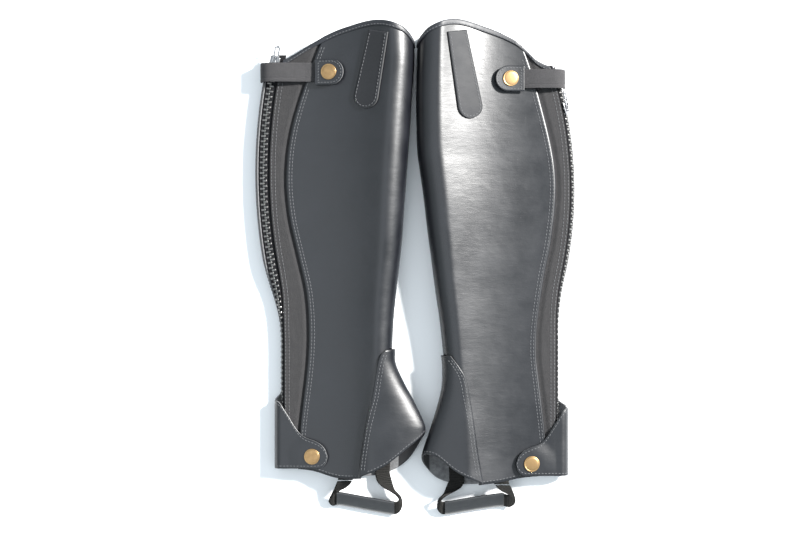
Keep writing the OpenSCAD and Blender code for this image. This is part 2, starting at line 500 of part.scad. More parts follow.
// -------------------------------------------------------------------------------------------------
module place(s) {
  translate(ORIGIN) mirror([s, 0, 0]) children();
}
module piece(name, s) {
  place(s) {
    if (name == "outer_panel") outer_panel(s);
    if (name == "inner_panel") inner_panel(s);
    if (name == "calf_elastic") calf_elastic(s);
    if (name == "top_binding") top_binding(s);
    if (name == "swagger_tab") swagger_tab(s);
    if (name == "vamp") vamp(s);
    if (name == "zip_tape_outer") zip_tape_outer(s);
    if (name == "zip_tape_inner") zip_tape_inner(s);
    if (name == "zip_teeth_outer") zip_teeth_outer(s);
    if (name == "zip_teeth_inner") zip_teeth_inner(s);
    if (name == "zip_stops") zip_stops(s);
    if (name == "snap_studs") snap_studs(s);
    if (name == "snap_rivets") snap_rivets(s);
    if (name == "strap_elastic") strap_elastic(s);
    if (name == "strap_tip") strap_tip(s);
    if (name == "strap_cap") strap_cap(s);
    if (name == "strap_socket") strap_socket(s);
    if (name == "heel_tab") heel_tab(s);
    if (name == "heel_cap") heel_cap(s);
    if (name == "heel_socket") heel_socket(s);
    if (name == "zip_slider") zip_slider(s);
    if (name == "zip_pull") zip_pull(s);
    if (name == "foot_elastic") foot_elastic(s);
    if (name == "foot_sleeve") foot_sleeve(s);
  }
}
for (s = [0, 1], p = PIECES) piece(p, s);
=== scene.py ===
"""A pair of leather half chaps lying flat: the looks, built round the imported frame."""
import math
import random
import bmesh
import bpy
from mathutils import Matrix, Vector

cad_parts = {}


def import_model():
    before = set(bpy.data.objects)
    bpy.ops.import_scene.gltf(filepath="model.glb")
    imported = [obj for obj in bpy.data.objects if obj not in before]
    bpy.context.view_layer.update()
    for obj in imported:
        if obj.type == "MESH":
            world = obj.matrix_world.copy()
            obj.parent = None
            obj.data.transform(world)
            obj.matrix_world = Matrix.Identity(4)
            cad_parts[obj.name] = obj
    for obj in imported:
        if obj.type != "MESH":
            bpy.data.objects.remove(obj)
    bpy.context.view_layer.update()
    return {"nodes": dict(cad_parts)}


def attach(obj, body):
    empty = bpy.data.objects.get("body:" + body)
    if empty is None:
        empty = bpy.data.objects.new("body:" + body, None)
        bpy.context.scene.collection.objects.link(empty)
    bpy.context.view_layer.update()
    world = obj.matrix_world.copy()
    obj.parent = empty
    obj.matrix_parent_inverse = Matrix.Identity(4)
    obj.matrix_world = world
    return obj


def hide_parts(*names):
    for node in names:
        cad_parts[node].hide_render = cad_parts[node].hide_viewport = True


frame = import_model()
MM = 0.001
SIDES = ("left", "right")
EDGE_BEVEL = 0.00035

# Sizes of the half chaps, in millimetres, as in the frame ----------------------------
LEATHER_T = 1.8
ELASTIC_T = 1.2
OVERLAP = 8
FOLD_KNEE = 21
FOLD_ANKLE = 15
REAR_R = 7
HEEL_R = 8
TAPE_T = 0.7
FOLD_WIDTH = 0.95
FIRST_HEIGHT = 405
CHAIN_PITCH = 5
TAB_ROUND = 12
TIP_R = 12
STRAP_OVER = 0.95
STRAP_REACH = 9
STRAP_ROOT = (1.1, 1.5)
SNAP_SEAT = 0.15
HEEL_TURN = 95
HEEL_BLEND = 9
BINDING_OVER = 1.05
BINDING_ROW = 3.2
LOOP_SIDES = 48
GAP = 0.3
LIFT = 3.2
CREST = 0.03
STRAP_W = 18
STRAP_T = 1.5
FOOT_W = 14
CHAIN_HALF = 3.4
TAPE_DEPTH = LEATHER_T + GAP + TAPE_T / 2
EDGE = 6.2
FOLD_FROM = -70
ORIGIN = (0.5, -192.5)

SHIN = (
    ((0, -28), (60, -26), (100, -23), (146, -21), (177, -18), (211, -14), (258, -10.5), (306, -7),
     (353, -4), (391, -1.6), (430, -3)),
    ((0, -34), (60, -31), (100, -27), (146, -22), (173, -18), (200, -14.5), (230, -10.5), (260, -7),
     (285, -3.5), (305, -1), (350, 0), (391, -0.8), (430, -2.5)))
SEAM = (
    ((0, -112), (40, -110), (100, -103), (135, -101.5), (171, -104), (207, -112), (243, -120),
     (280, -123), (320, -119), (363, -107), (408, -90)),
    ((0, -126), (40, -122), (82, -117), (111, -114), (140, -115), (184, -121), (220, -128),
     (265, -132.5), (300, -130), (355, -117), (391, -106), (415, -96)))
KNEE = (
    ((-150, 384), (-135, 388), (-123, 392), (-101, 405), (-88, 412), (-68, 420), (-38, 426),
     (-14, 420), (-5, 412), (-1, 404)),
    ((-156, 380), (-130, 384), (-114, 391), (-101, 404), (-88, 412), (-68, 420), (-38, 427),
     (-14, 420), (-5, 412), (0, 404)))
HEM = (((-140, 4), (-101, 2), (-74, -5), (-50, -5)), ((-146, -2), (-101, -5), (-80, -9), (-60, -11)))
ZIP_R = (500, 380)
ZIP_C = ((355, 285), (231, 268))
ZIP_TURN = (178, 186)
ZIP_FOOT_X = (-127, -134.5)
ZIP_END = ((8, 396), (2, 386))
ROLL = ((1, -9), (-7.3, -9))
HEEL_X = (-134.5, -145)
HEEL_SHIFT = ((0, 0), (-11, -7))
VAMP_FRONT = (
    ((36, 9), (45, 8.5), (68, -2), (85, -11), (104, -19), (117, -19.5)),
    ((12, -5), (18, -5.5), (41, -13), (60, -19), (81, -24), (100, -24.6), (112, -23.4)))
VAMP_SEAM = (
    ((-5, -54), (17, -51.5), (51, -46), (73, -41), (97, -37), (112, -33), (117, -27)),
    ((-12, -63), (20, -57.5), (45, -54), (70, -50), (90, -46), (101, -40), (111, -32)))
VAMP_TOP = (117, 111)
VAMP_LOW = (
    ((0, -4), (0.25, 8), (0.5, 24), (0.75, 34), (1, 40)),
    ((0, -10), (0.25, 1), (0.5, 15), (0.75, 18), (1, 15)))
VAMP_LOW_IN = (
    ((0, -5), (0.25, -2), (0.5, 10), (0.75, 30), (1, 40)),
    ((0, -12), (0.25, -12), (0.5, -7), (0.75, 5), (1, 15)))
STRAP_Y = (379, 373)
STRAP_SNAP_X = (-81.5, -88.5)
HEEL_SNAP = (-98, 15.5)
TAB_TOP = ((-34, 421), (-37, 421.5))
TAB_END = ((-49, 344), (-52.5, 335))
SLIDER_Y = (388, 345)
HEEL_UP = ((-136, 68), (-130, 66), (-124, 58), (-114, 42), (-107, 34.5), (-97, 30.5), (-90, 27),
           (-85.5, 22), (-83.2, 15.5))
HEEL_DOWN = ((-136, 3.5), (-100, 4), (-92, 4.2), (-88, 5.5), (-84.8, 9.5), (-83.2, 15))
FOOT_ROUTE = (
    ((-67, -6, 17), (-69, -11, 15.5), (-74, -18, 12.5), (-79.5, -23, 10), (-79, -26.5, 8), (-72, -26, 7),
     (-47, -30.5, 7), (-24, -34.5, 7), (-17, -33.5, 8.5), (-15.5, -27, 10.5), (-20, -21, 9.5),
     (-27, -15, 8), (-31, -6, 7), (-32, 1, 6.4)),
    ((-81, -10, 17), (-84, -15, 15.5), (-88, -21, 12.5), (-91, -25, 10), (-88, -28, 8), (-80, -27, 7),
     (-55, -30.5, 7), (-31, -34.5, 7), (-24, -34, 8.5), (-22.5, -29, 10.5), (-27, -23.5, 9.5),
     (-33, -19, 8), (-37, -13, 7), (-39, -8, 6.4)))
FOOT_ACROSS = ((1, 0, 0), (1, 0.1, 0.1), (0.9, 0.4, 0.3), (0.5, 0.8, 0.5), (0.1, 0.9, 0.5),
               (0, 0.85, 0.5), (0, 0.85, 0.5), (0, 0.85, 0.5), (0, 0.9, 0.5), (-0.3, 0.9, 0.5),
               (-0.8, 0.5, 0.4), (-0.95, 0.3, 0.2), (-1, -0.2, 0), (-1, 0, 0))


# Sewn ends of the elastic under the boot: the height they start at, and their far point inside the hem
FOOT_ROOT = (((-7, (-66, 12, 15)), (-3, (-31, 20, 7.5))), ((-11, (-80, 8, 15)), (-12, (-38, 14, 7.5))))


# Interpolation ----------------------------
def mix(a, b, t):
    return a + (b - a) * t


def clamp(v, lo, hi):
    return min(hi, max(lo, v))


def ease(a, b, v):
    t = clamp((v - a) / (b - a), 0, 1)
    return t * t * (3 - 2 * t)


def slope(pts, i):
    a, b = max(i - 1, 0), min(i + 1, len(pts) - 1)
    return (pts[b][1] - pts[a][1]) / (pts[b][0] - pts[a][0])


def curve(key, pts):
    """A smooth curve through key points (key, value), level beyond both ends."""
    k = clamp(key, pts[0][0], pts[-1][0])
    i = 0
    while i < len(pts) - 2 and k >= pts[i + 1][0]:
        i += 1
    h = pts[i + 1][0] - pts[i][0]
    t = (k - pts[i][0]) / h
    return ((2 * t ** 3 - 3 * t * t + 1) * pts[i][1] + (t ** 3 - 2 * t * t + t) * h * slope(pts, i)
            + (3 * t * t - 2 * t ** 3) * pts[i + 1][1] + (t ** 3 - t * t) * h * slope(pts, i + 1))


def sin(a):
    return math.sin(math.radians(a))


def cos(a):
    return math.cos(math.radians(a))


# The lying shape of one half chap, as in the frame ----------------------------
def fold_r(y):
    return mix(FOLD_ANKLE, FOLD_KNEE, ease(60, 330, y))


def fold_a(y):
    return FOLD_WIDTH * fold_r(y)


def crest_x(s, y):
    return curve(y, SHIN[s]) - fold_a(y)


def seam_x(s, y):
    return curve(y, SEAM[s])


def turn(s):
    """Radius of the chain's lower counter curve, and the height below which the chain is straight."""
    a = math.degrees(math.asin((ZIP_C[s][1] - ZIP_TURN[s]) / ZIP_R[s]))
    x = ZIP_C[s][0] - ZIP_R[s] * cos(a)
    r = (ZIP_FOOT_X[s] - x) / (1 - cos(a))
    return r, ZIP_TURN[s] - r * sin(a)


TURN = [turn(0), turn(1)]


def zip_x(s, y):
    r, straight = TURN[s]
    if y > ZIP_TURN[s]:
        return ZIP_C[s][0] - math.sqrt(ZIP_R[s] ** 2 - (y - ZIP_C[s][1]) ** 2)
    if y > straight:
        return ZIP_FOOT_X[s] - r + math.sqrt(r * r - (y - straight) ** 2)
    return ZIP_FOOT_X[s]


def roll(s, y):
    return mix(ROLL[s][1], ROLL[s][0], ease(130, 205, y))


def roll_angle(w):
    return math.degrees(-w / REAR_R) if w < 0 else 0


def rear_x(s, y):
    w = roll(s, y)
    return zip_x(s, y) + ((REAR_R - TAPE_DEPTH) * sin(roll_angle(w)) if w < 0 else -w)


def settled(q):
    return (math.hypot(q, CREST) - CREST) / (math.hypot(1, CREST) - CREST)


def top_z(s, y, x):
    c = crest_x(s, y)
    q = clamp((c - x) / (c - rear_x(s, y)), 0, 1)
    return 2 * REAR_R + (2 * fold_r(y) - 2 * REAR_R) * (1 + cos(180 * math.sqrt(settled(q)))) / 2


def on_top(s, y, x, d):
    g = (top_z(s, y, x + 0.1) - top_z(s, y, x - 0.1)) / 0.2
    n = math.sqrt(1 + g * g)
    return (x + d * g / n, y, top_z(s, y, x) - d / n)


def on_rear(s, y, b, d):
    return (rear_x(s, y) - (REAR_R - d) * sin(b), y, REAR_R + (REAR_R - d) * cos(b))


def on_fold(s, y, f, d, a, r, z):
    n = (cos(f) / a, sin(f) / r)
    m = math.hypot(*n)
    return (crest_x(s, y) + a * cos(f) - d * n[0] / m, y, z + r * sin(f) - d * n[1] / m)


def at_surface(s, y, w, d):
    return on_rear(s, y, roll_angle(w), d) if w < 0 else on_top(s, y, rear_x(s, y) + w, d)


def drape(s, x, y, d):
    c = crest_x(s, y)
    if x > c:
        f = math.degrees(math.acos(clamp((x - c) / fold_a(y), -1, 1)))
        return on_fold(s, y, f, d, fold_a(y), fold_r(y), fold_r(y))
    if x > rear_x(s, y):
        return on_top(s, y, x, d)
    return on_rear(s, y, math.degrees(math.asin(clamp((rear_x(s, y) - x) / REAR_R, -1, 1))), d)


def lean(s, x, y):
    return math.degrees(math.atan((top_z(s, y, x + 2) - top_z(s, y, x - 2)) / 4))


# Mesh building ----------------------------
def world(s, p):
    x = -p[0] if s else p[0]
    return ((x + ORIGIN[0]) * MM, (p[1] + ORIGIN[1]) * MM, p[2] * MM)


def add_object(name, verts, faces, materials, face_slots=None, smooth=True):
    mesh = bpy.data.meshes.new(name)
    mesh.from_pydata(verts, [], faces)
    mesh.validate()
    for m in materials:
        mesh.materials.append(m)
    if face_slots:
        for poly, slot in zip(mesh.polygons, face_slots):
            poly.material_index = slot
    mesh.polygons.foreach_set("use_smooth", [smooth] * len(mesh.polygons))
    obj = bpy.data.objects.new(name, mesh)
    bpy.context.collection.objects.link(obj)
    return obj


def bevel(obj, width=EDGE_BEVEL, segments=2, angle=40):
    mod = obj.modifiers.new("edge", "BEVEL")
    mod.width = width
    mod.segments = segments
    mod.limit_method = "ANGLE"
    mod.angle_limit = math.radians(angle)
    mod.harden_normals = False
    return obj


def sheet(name, s, outer, inner, *mats):
    """A closed sheet from two grids of points. Its materials: face, back and raw edge, or one for all."""
    nr, nc = len(outer), len(outer[0])
    n = nr * nc
    verts = [world(s, p) for g in (outer, inner) for r in g for p in r]
    faces, slots = [], []
    for r in range(nr - 1):
        for c in range(nc - 1):
            a = r * nc + c
            faces.append((a, a + 1, a + nc + 1, a + nc))
            faces.append((n + a, n + a + nc, n + a + nc + 1, n + a + 1))
            slots += [0, 1]
    rim = ([c for c in range(nc)] + [r * nc + nc - 1 for r in range(1, nr)]
           + [(nr - 1) * nc + c for c in range(nc - 2, -1, -1)] + [r * nc for r in range(nr - 2, 0, -1)])
    for i, a in enumerate(rim):
        b = rim[(i + 1) % len(rim)]
        faces.append((b, a, n + a, n + b))
        slots.append(2)
    obj = add_object(name, verts, faces, mats if len(mats) > 1 else mats * 3, slots)
    lay_uv(obj, outer)
    return oriented(obj)


def measured(points):
    """Distances along a line of points, in millimetres."""
    total = [0.0]
    for a, b in zip(points, points[1:]):
        total.append(total[-1] + math.dist(a, b))
    return total


def lay_uv(obj, grid):
    """The sheet's own measure as UV, in millimetres: across its rows and along them."""
    across = measured(grid[len(grid) // 2])
    along = measured([row[len(row) // 2] for row in grid])
    uv = [(u, v) for v in along for u in across] * 2
    layer = obj.data.uv_layers.new(name="measure")
    for loop in obj.data.loops:
        layer.data[loop.index].uv = uv[loop.vertex_index]


def oriented(obj):
    """Turns the faces of a closed mesh outwards."""
    bm = bmesh.new()
    bm.from_mesh(obj.data)
    bmesh.ops.recalc_face_normals(bm, faces=bm.faces)
    bm.to_mesh(obj.data)
    bm.free()
    return obj


def tube(name, s, rings, material):
    n = len(rings[0])
    verts = [world(s, p) for r in rings for p in r]
    faces = [(j * n + i, j * n + (i + 1) % n, (j + 1) * n + (i + 1) % n, (j + 1) * n + i)
             for j in range(len(rings) - 1) for i in range(n)]
    faces += [tuple(range(n)), tuple(range((len(rings) - 1) * n, len(rings) * n))]
    return oriented(add_object(name, verts, faces, [material]))


def loop(name, s, rings, material):
    """A tube whose last ring meets its first."""
    n, total = len(rings[0]), len(rings)
    verts = [world(s, p) for r in rings for p in r]
    faces = [(j * n + k, j * n + (k + 1) % n, (j + 1) % total * n + (k + 1) % n, (j + 1) % total * n + k)
             for j in range(total) for k in range(n)]
    return oriented(add_object(name, verts, faces, [material]))


def spaced(n, lo=0.0, hi=1.0):
    return [mix(lo, hi, i / n) for i in range(n + 1)]


def finish_piece(obj, body, node):
    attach(obj, body)
    if node:
        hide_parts(node)
    return obj


# Leather panels ----------------------------
def knee_y(s, x):
    return curve(x, KNEE[s])


def hem_y(s, x):
    return curve(x, HEM[s])


def settle(section, low, high, k, v):
    """The height of a point whose top and bottom limits depend on where it ends up."""
    y = mix(0, FIRST_HEIGHT, v)
    for _ in range(4):
        x = section(y, k)[0]
        y = mix(low(k, x), high(x), v)
    return y


def outer_section(s, y, k, d):
    if k < 1:
        return on_fold(s, y, mix(FOLD_FROM, 90, k), d, fold_a(y), fold_r(y), fold_r(y))
    return on_top(s, y, mix(crest_x(s, y), seam_x(s, y), k - 1), d)


def outer_low(s, k, x):
    if k > 1.14:
        return hem_y(s, x)
    return curve(k, ((0, VAMP_TOP[s] + 1.5), (0.5, VAMP_TOP[s] + 1), (0.8, VAMP_TOP[s] - 9), (1, 62),
                     (1.07, 30), (1.14, 0)))


def outer_y(s, k, v):
    return settle(lambda y, j: outer_section(s, y, j, 0), lambda j, x: outer_low(s, j, x),
                  lambda x: knee_y(s, x), k, v)


def heel_zone(s, y):
    top = HEEL_UP[1][1] + HEEL_SHIFT[s][1]
    return 1 - ease(top + 2, top + 10, y)


def inner_section(s, y, k, d):
    if k < 1:
        return on_fold(s, y, mix(FOLD_FROM - 3, -90, k), d, fold_a(y), fold_r(y), fold_r(y))
    zone = heel_zone(s, y)
    rear = mix(rear_x(s, y), HEEL_X[s] + HEEL_R, zone)
    if k < 2:
        return (mix(crest_x(s, y), rear, k - 1), y, d)
    r = mix(REAR_R, HEEL_R, zone)
    b = mix(180, mix(math.degrees((EDGE - roll(s, y)) / REAR_R), 99, zone), k - 2)
    return (rear - (r - d) * sin(b), y, r + (r - d) * cos(b))


def inner_low(s, k, x):
    if k > 1.14:
        return hem_y(s, x) + 0.5
    return curve(k, ((0, VAMP_TOP[s] + 1.5), (0.8, VAMP_TOP[s] + 1), (1, VAMP_TOP[s] - 20), (1.07, 40),
                     (1.14, 0)))


def inner_y(s, k, v):
    return settle(lambda y, j: inner_section(s, y, j, 0), lambda j, x: inner_low(s, j, x),
                  lambda x: knee_y(s, x) - 6, k, v)


def elastic_w(s, y, k):
    return mix(seam_x(s, y) + OVERLAP - rear_x(s, y), roll(s, y) + EDGE, k)


def elastic_depth(s, y, w):
    return mix(0.6, LEATHER_T + GAP, ease(-6, -1, w + rear_x(s, y) - seam_x(s, y)))


def elastic_y(s, k, v):
    return settle(lambda y, j: at_surface(s, y, elastic_w(s, y, j), 0), lambda j, x: hem_y(s, x) + 0.5,
                  lambda x: knee_y(s, x) - 0.5, k, v)


def elastic_at(s, k, v, d):
    y = elastic_y(s, k, v)
    w = elastic_w(s, y, k)
    return at_surface(s, y, w, elastic_depth(s, y, w) + d)


def two_faces(point, rows, cols, back, front=0):
    """Outer and inner grids of a panel from point(row, col, depth), at the depths front and back."""
    return [[[point(r, c, d) for c in cols] for r in rows] for d in (front, back)]


def outer_panel(s, m):
    def at(v, k, d):
        return outer_section(s, outer_y(s, k, v), k, d)
    grids = two_faces(at, spaced(150), spaced(96, 0, 2), LEATHER_T)
    return sheet("outer_panel", s, *grids, m["leather"], m["suede"], m["raw"])


def inner_panel(s, m):
    def at(v, k, d):
        return inner_section(s, inner_y(s, k, v), k, d)
    grids = two_faces(at, spaced(110), spaced(40, 0, 2)[:-1] + spaced(24, 2, 3), LEATHER_T)
    return sheet("inner_panel", s, *grids, m["leather"], m["suede"], m["raw"])


def calf_elastic(s, m):
    def at(v, k, d):
        return elastic_at(s, k, v, d)
    grids = two_faces(at, spaced(140), spaced(44), ELASTIC_T)
    return sheet("calf_elastic", s, *grids, m["elastic"])


def bind_point(s, k, d, drop):
    if k < 2:
        return outer_section(s, outer_y(s, k, 1) - drop, k, d)
    e = mix(0.36, 1, k - 2)
    y = elastic_y(s, e, 1) - drop
    w = elastic_w(s, y, e)
    thinner = LEATHER_T - ELASTIC_T if d > 0 else 0
    return at_surface(s, y, w, elastic_depth(s, y, w) + d - thinner)


def top_binding(s, m):
    """A strip folded over the knee edge: a U section."""
    far = LEATHER_T + 1
    section = ((-0.95, 4.5), (-1.05, 3.8), (-1.0, 1.5), (-0.9, 0), (-0.5, -0.7), (0.2, -1), (1.6, -1),
               (2.3, -0.7), (far - 0.1, 0), (far, 1.5), (far, 4.5), (LEATHER_T + 0.1, 4.5),
               (LEATHER_T + 0.1, -0.15), (-0.1, -0.15), (-0.1, 4.5))
    ks = spaced(90, 0.3, 1.95) + spaced(30, 2.05, 2.95)
    rings = [[bind_point(s, k, d, drop) for d, drop in section] for k in ks]
    return tube("top_binding", s, rings, m["binding"])


def tab_axis(s):
    """Start, length, direction along and across the knee tab."""
    a, b = TAB_TOP[s], TAB_END[s]
    length = math.hypot(b[0] - a[0], b[1] - a[1])
    along = ((b[0] - a[0]) / length, (b[1] - a[1]) / length)
    return a, length, along, (along[1], -along[0])


def tab_point(s, at, u, inset, d):
    """A point of the knee tab: at is the distance along, u runs -1 to 1 across."""
    a, length, along, across = tab_axis(s)
    w = mix(9, 12, at / length) - inset
    end = length - TAB_ROUND
    if at > end:
        w *= math.sqrt(max(0.01, 1 - ((at - end) / (TAB_ROUND - inset)) ** 2))
    return drape(s, a[0] + along[0] * at + across[0] * w * u, a[1] + along[1] * at + across[1] * w * u, d)


def swagger_tab(s, m):
    length = tab_axis(s)[1]
    end = length - TAB_ROUND
    ls = spaced(40, 5, end) + [end + TAB_ROUND * sin(f) for f in range(6, 90, 6)]

    def at(v, u, d):
        return tab_point(s, v, u, 0, d)
    us = spaced(16, -1, 1)
    grids = two_faces(at, ls, us, -GAP, -LEATHER_T)
    return sheet("swagger_tab", s, *grids, m["tab"], m["tab"], m["edge"])


def vamp_point(s, y, u, d):
    front, seam, c = curve(y, VAMP_FRONT[s]), curve(y, VAMP_SEAM[s]), crest_x(s, y)
    a = front - c
    rise = LEATHER_T + 2 * GAP
    x = mix(seam, front, sin(90 * (2 - u if u > 1 else u)))
    if x > c:
        f = math.degrees(math.acos(clamp((x - c) / a, -1, 1)))
        return on_fold(s, y, f if u <= 1 else -f, d, a, fold_r(y), fold_r(y) + rise)
    return on_top(s, y, x, d - rise) if u <= 1 else (x, y, rise + d)


def vamp_y(s, u, v):
    return mix(curve(u, VAMP_LOW[s]) if u <= 1 else curve(2 - u, VAMP_LOW_IN[s]), VAMP_TOP[s], v)


def vamp(s, m):
    def at(v, u, d):
        return vamp_point(s, vamp_y(s, u, v), u, d)
    us = spaced(80, 0, 2)
    grids = two_faces(at, spaced(60), us, LEATHER_T)
    obj = sheet("vamp", s, *grids, m["leather"], m["suede"], m["edge"])
    # The fourth slot is painted shade: smooth black on the shadowed inside of the vamp towards its front
    # fold.
    obj.data.materials.append(m["lining"])
    paint_front_shade(obj, s)
    return obj


def paint_front_shade(obj, s):
    """Painted shade: the inside of the vamp towards its front fold, which lies in shadow, gets a smooth black
    material in place of the suede back.
    """
    edge = (-16, -13)[s]
    for poly in obj.data.polygons:
        x = (poly.center[0] / MM - ORIGIN[0]) * (-1 if s else 1)
        if poly.material_index == 1 and x > edge:
            poly.material_index = 3


# Zip ----------------------------
def rotated(p, axis, angle):
    c, n = cos(angle), sin(angle)
    if axis == "z":
        return (p[0] * c - p[1] * n, p[0] * n + p[1] * c, p[2])
    return (p[0] * c + p[2] * n, p[1], p[2] * c - p[0] * n)


def zip_place(s, y):
    """Places points given in the chain's frame at height y: X across, Y up along it, Z outwards."""
    o = at_surface(s, y, roll(s, y), TAPE_DEPTH)
    tilt = -math.degrees(math.atan(zip_x(s, y + 0.5) - zip_x(s, y - 0.5)))
    turned = -roll_angle(roll(s, y))

    def place(p):
        q = rotated(rotated(p, "y", turned), "z", tilt)
        return (o[0] + q[0], o[1] + q[1], o[2] + q[2])
    return place


def tape_point(s, y, across, d):
    w = roll(s, y)
    b = roll_angle(w)
    o = at_surface(s, y, w, TAPE_DEPTH + d)
    flat = (o[0] + across * cos(b), y, o[2] + across * sin(b))
    under = at_surface(s, y, w + across, TAPE_DEPTH + d)
    t = ease(3, 6, abs(across))
    return tuple(mix(p, q, t) for p, q in zip(flat, under))


def zip_tape(s, m, side, name):
    def at(v, across, d):
        return tape_point(s, mix(ZIP_END[s][0], ZIP_END[s][1], v), side * across, d - TAPE_T / 2)
    grids = two_faces(at, spaced(130), spaced(12, 0.8, 9.4), TAPE_T)
    return sheet(name, s, *grids, m["tape"])


def blocks(name, s, parts, material):
    """One mesh of closed convex blocks: each part is (lower ring, upper ring)."""
    verts, faces = [], []
    for low, high in parts:
        n, a = len(low), len(verts)
        verts += [world(s, p) for p in low + high]
        faces += [(a + i, a + (i + 1) % n, a + n + (i + 1) % n, a + n + i) for i in range(n)]
        faces += [tuple(a + i for i in range(n - 1, -1, -1)), tuple(a + n + i for i in range(n))]
    return oriented(add_object(name, verts, faces, [material]))


def prism(place, outline, z0, z1):
    return ([place((x, y, z0)) for x, y in outline], [place((x, y, z1)) for x, y in outline])


def box_part(place, x0, x1, y0, y1, z0, z1):
    return prism(place, ((x0, y0), (x1, y0), (x1, y1), (x0, y1)), z0, z1)


def zip_teeth(s, m, side, name):
    """One row of teeth: a square foot clamped on the tape and a narrower head in the middle."""
    first = ZIP_END[s][0] + 6 + (2.5 if side > 0 else 0)
    count = int((ZIP_END[s][1] - 4 - first) / CHAIN_PITCH) + 1
    outline = ((3.3, -0.95), (3.3, 0.95), (1.2, 0.85), (0.2, 1.1), (-0.8, 0.8), (-0.8, -0.8), (0.2, -1.1),
               (1.2, -0.85))
    parts = []
    for i in range(count):
        place = zip_place(s, first + CHAIN_PITCH * i)
        parts.append(prism(place, [(side * x, y) for x, y in outline], -1.2, 1.2))
    return bevel(blocks(name, s, parts, m["teeth"]), 0.0003, 2, 30)


def zip_stops(s, m):
    top, low = zip_place(s, ZIP_END[s][1] - 1.5), zip_place(s, ZIP_END[s][0] + 1.5)
    parts = [box_part(top, side * 2 - 1.1, side * 2 + 1.1, -1, 1, -1.4, 1.4) for side in (-1, 1)]
    parts.append(box_part(low, -CHAIN_HALF, CHAIN_HALF, -2, 2, -1.6, 1.6))
    return bevel(blocks("zip_stops", s, parts, m["chrome"]), 0.0005, 3)


def zip_slider(s, m):
    """A slider: two shield-shaped plates and the bridge for the pull."""
    place = zip_place(s, SLIDER_Y[s])
    shield = ((-3.1, -6.5), (3.1, -6.5), (3.6, -3), (4.6, 3), (4.4, 5.6), (2.6, 6.5), (0, 5.4), (-2.6, 6.5),
              (-4.4, 5.6), (-4.6, 3), (-3.6, -3))
    parts = [prism(place, shield, 1.5, 2.7), prism(place, [(x * 0.7, y) for x, y in shield], -2.7, -1.5)]
    parts += [box_part(place, -1.1, 1.1, y, y + 1, 2.6, 5.2) for y in (-2.8, 1.8)]
    parts.append(box_part(place, -1.1, 1.1, -2.8, 2.8, 4.4, 5.3))
    return bevel(blocks("zip_slider", s, parts, m["chrome"]), 0.0004, 3, 30)


def zip_pull(s, m):
    """A pull frame with a long window, hung on the slider's bridge."""
    base = zip_place(s, SLIDER_Y[s])

    def place(p):
        return base((p[0], p[1], p[2] + 3.6))
    bar = 0.6
    parts = [tuple([place((x, bar * cos(a), bar * sin(a))) for a in range(0, 360, 30)] for x in (-2.7, 2.7))]
    for side in (-1, 1):
        leg = ((side * 1.5, 0), (side * 2.7, 0), (side * 2.7, 15.2), (side * 1.9, 16.6), (side * 1.2, 16.6),
               (side * 1.2, 5.5), (side * 1.5, 5.3))
        parts.append(prism(place, leg, -0.6, 0.6))
    parts.append(box_part(place, -1.3, 1.3, 5.5, 7, -0.6, 0.6))
    parts.append(box_part(place, -1.3, 1.3, 14.5, 17, -0.6, 0.6))
    return bevel(blocks("zip_pull", s, parts, m["chrome"]), 0.00035, 3, 30)


# Snaps, straps and tabs ----------------------------
def snap_centre(s, i):
    if i == 0:
        return STRAP_SNAP_X[s], STRAP_Y[s]
    return HEEL_SNAP[0] + HEEL_SHIFT[s][0], HEEL_SNAP[1] + HEEL_SHIFT[s][1]


def snap_place(s, i):
    """Places points given in a snap's frame: Z outwards from the leather under it."""
    x, y = snap_centre(s, i)
    o = drape(s, x, y, 0)
    a = -lean(s, x, y)

    def place(p):
        q = rotated(p, "y", a)
        return (o[0] + q[0], o[1] + q[1], o[2] + q[2])
    return place


def lathe(name, s, place, profile, material, n=72):
    """A round part from (radius, height) pairs, closed at the axis."""
    rings = [[place((r * cos(360 * i / n), r * sin(360 * i / n), z)) for i in range(n)] for r, z in profile]
    return tube(name, s, rings, material)


def snap_cap(s, m, i, name):
    """A shallow domed cap with a rolled rim."""
    base = LIFT + LEATHER_T + SNAP_SEAT
    profile = [(6.6, 0), (7.2, 0.1), (7.5, 0.4), (7.45, 0.8), (7.2, 1.05), (6.85, 1.1), (6.5, 0.98),
               (6.25, 0.86)]
    profile += [(6.25 * cos(a), 0.86 + 0.42 * sin(a)) for a in (8, 18, 30, 44, 60, 75, 86)]
    rings = [(r, base + z) for r, z in profile]
    post = [(1.5, LIFT - SNAP_SEAT), (1.5, base), (6.6, base)]
    return lathe(name, s, snap_place(s, i), post + rings, m["brass"])


def snap_socket(s, m, i, name):
    top = LIFT - SNAP_SEAT
    profile = [(3.1, 0.95), (4.9, 0.95), (5.2, 1.25), (5.2, 2.7), (4.9, top), (0.4, top), (0.4, 2.4),
               (3.1, 2.4)]
    place = snap_place(s, i)
    turns = [360 * j / LOOP_SIDES for j in range(LOOP_SIDES)]
    rings = [[place((r * cos(f), r * sin(f), z)) for f in turns] for r, z in profile]
    return loop(name, s, rings, m["brass"])


def strap_point(s, u):
    low, high = STRAP_Y[s] - STRAP_REACH, STRAP_Y[s] + STRAP_REACH
    px = min(rear_x(s, low), rear_x(s, high)) - REAR_R - STRAP_ROOT[0]
    pz = REAR_R - STRAP_ROOT[1]
    x = curve(u, ((0, px), (0.1, px - 0.3), (0.2, px + 1.6), (0.3, px + 6.5), (0.45, px + 15),
                  (0.65, px + 28), (1, STRAP_SNAP_X[s] - 10)))
    near = top_z(s, STRAP_Y[s], x) + STRAP_OVER + STRAP_T / 2
    return x, curve(u, ((0, pz), (0.1, 11), (0.2, 16.5), (0.3, 19.8), (0.45, 20.6),
                        (0.65, max(19.8, near)), (1, near)))


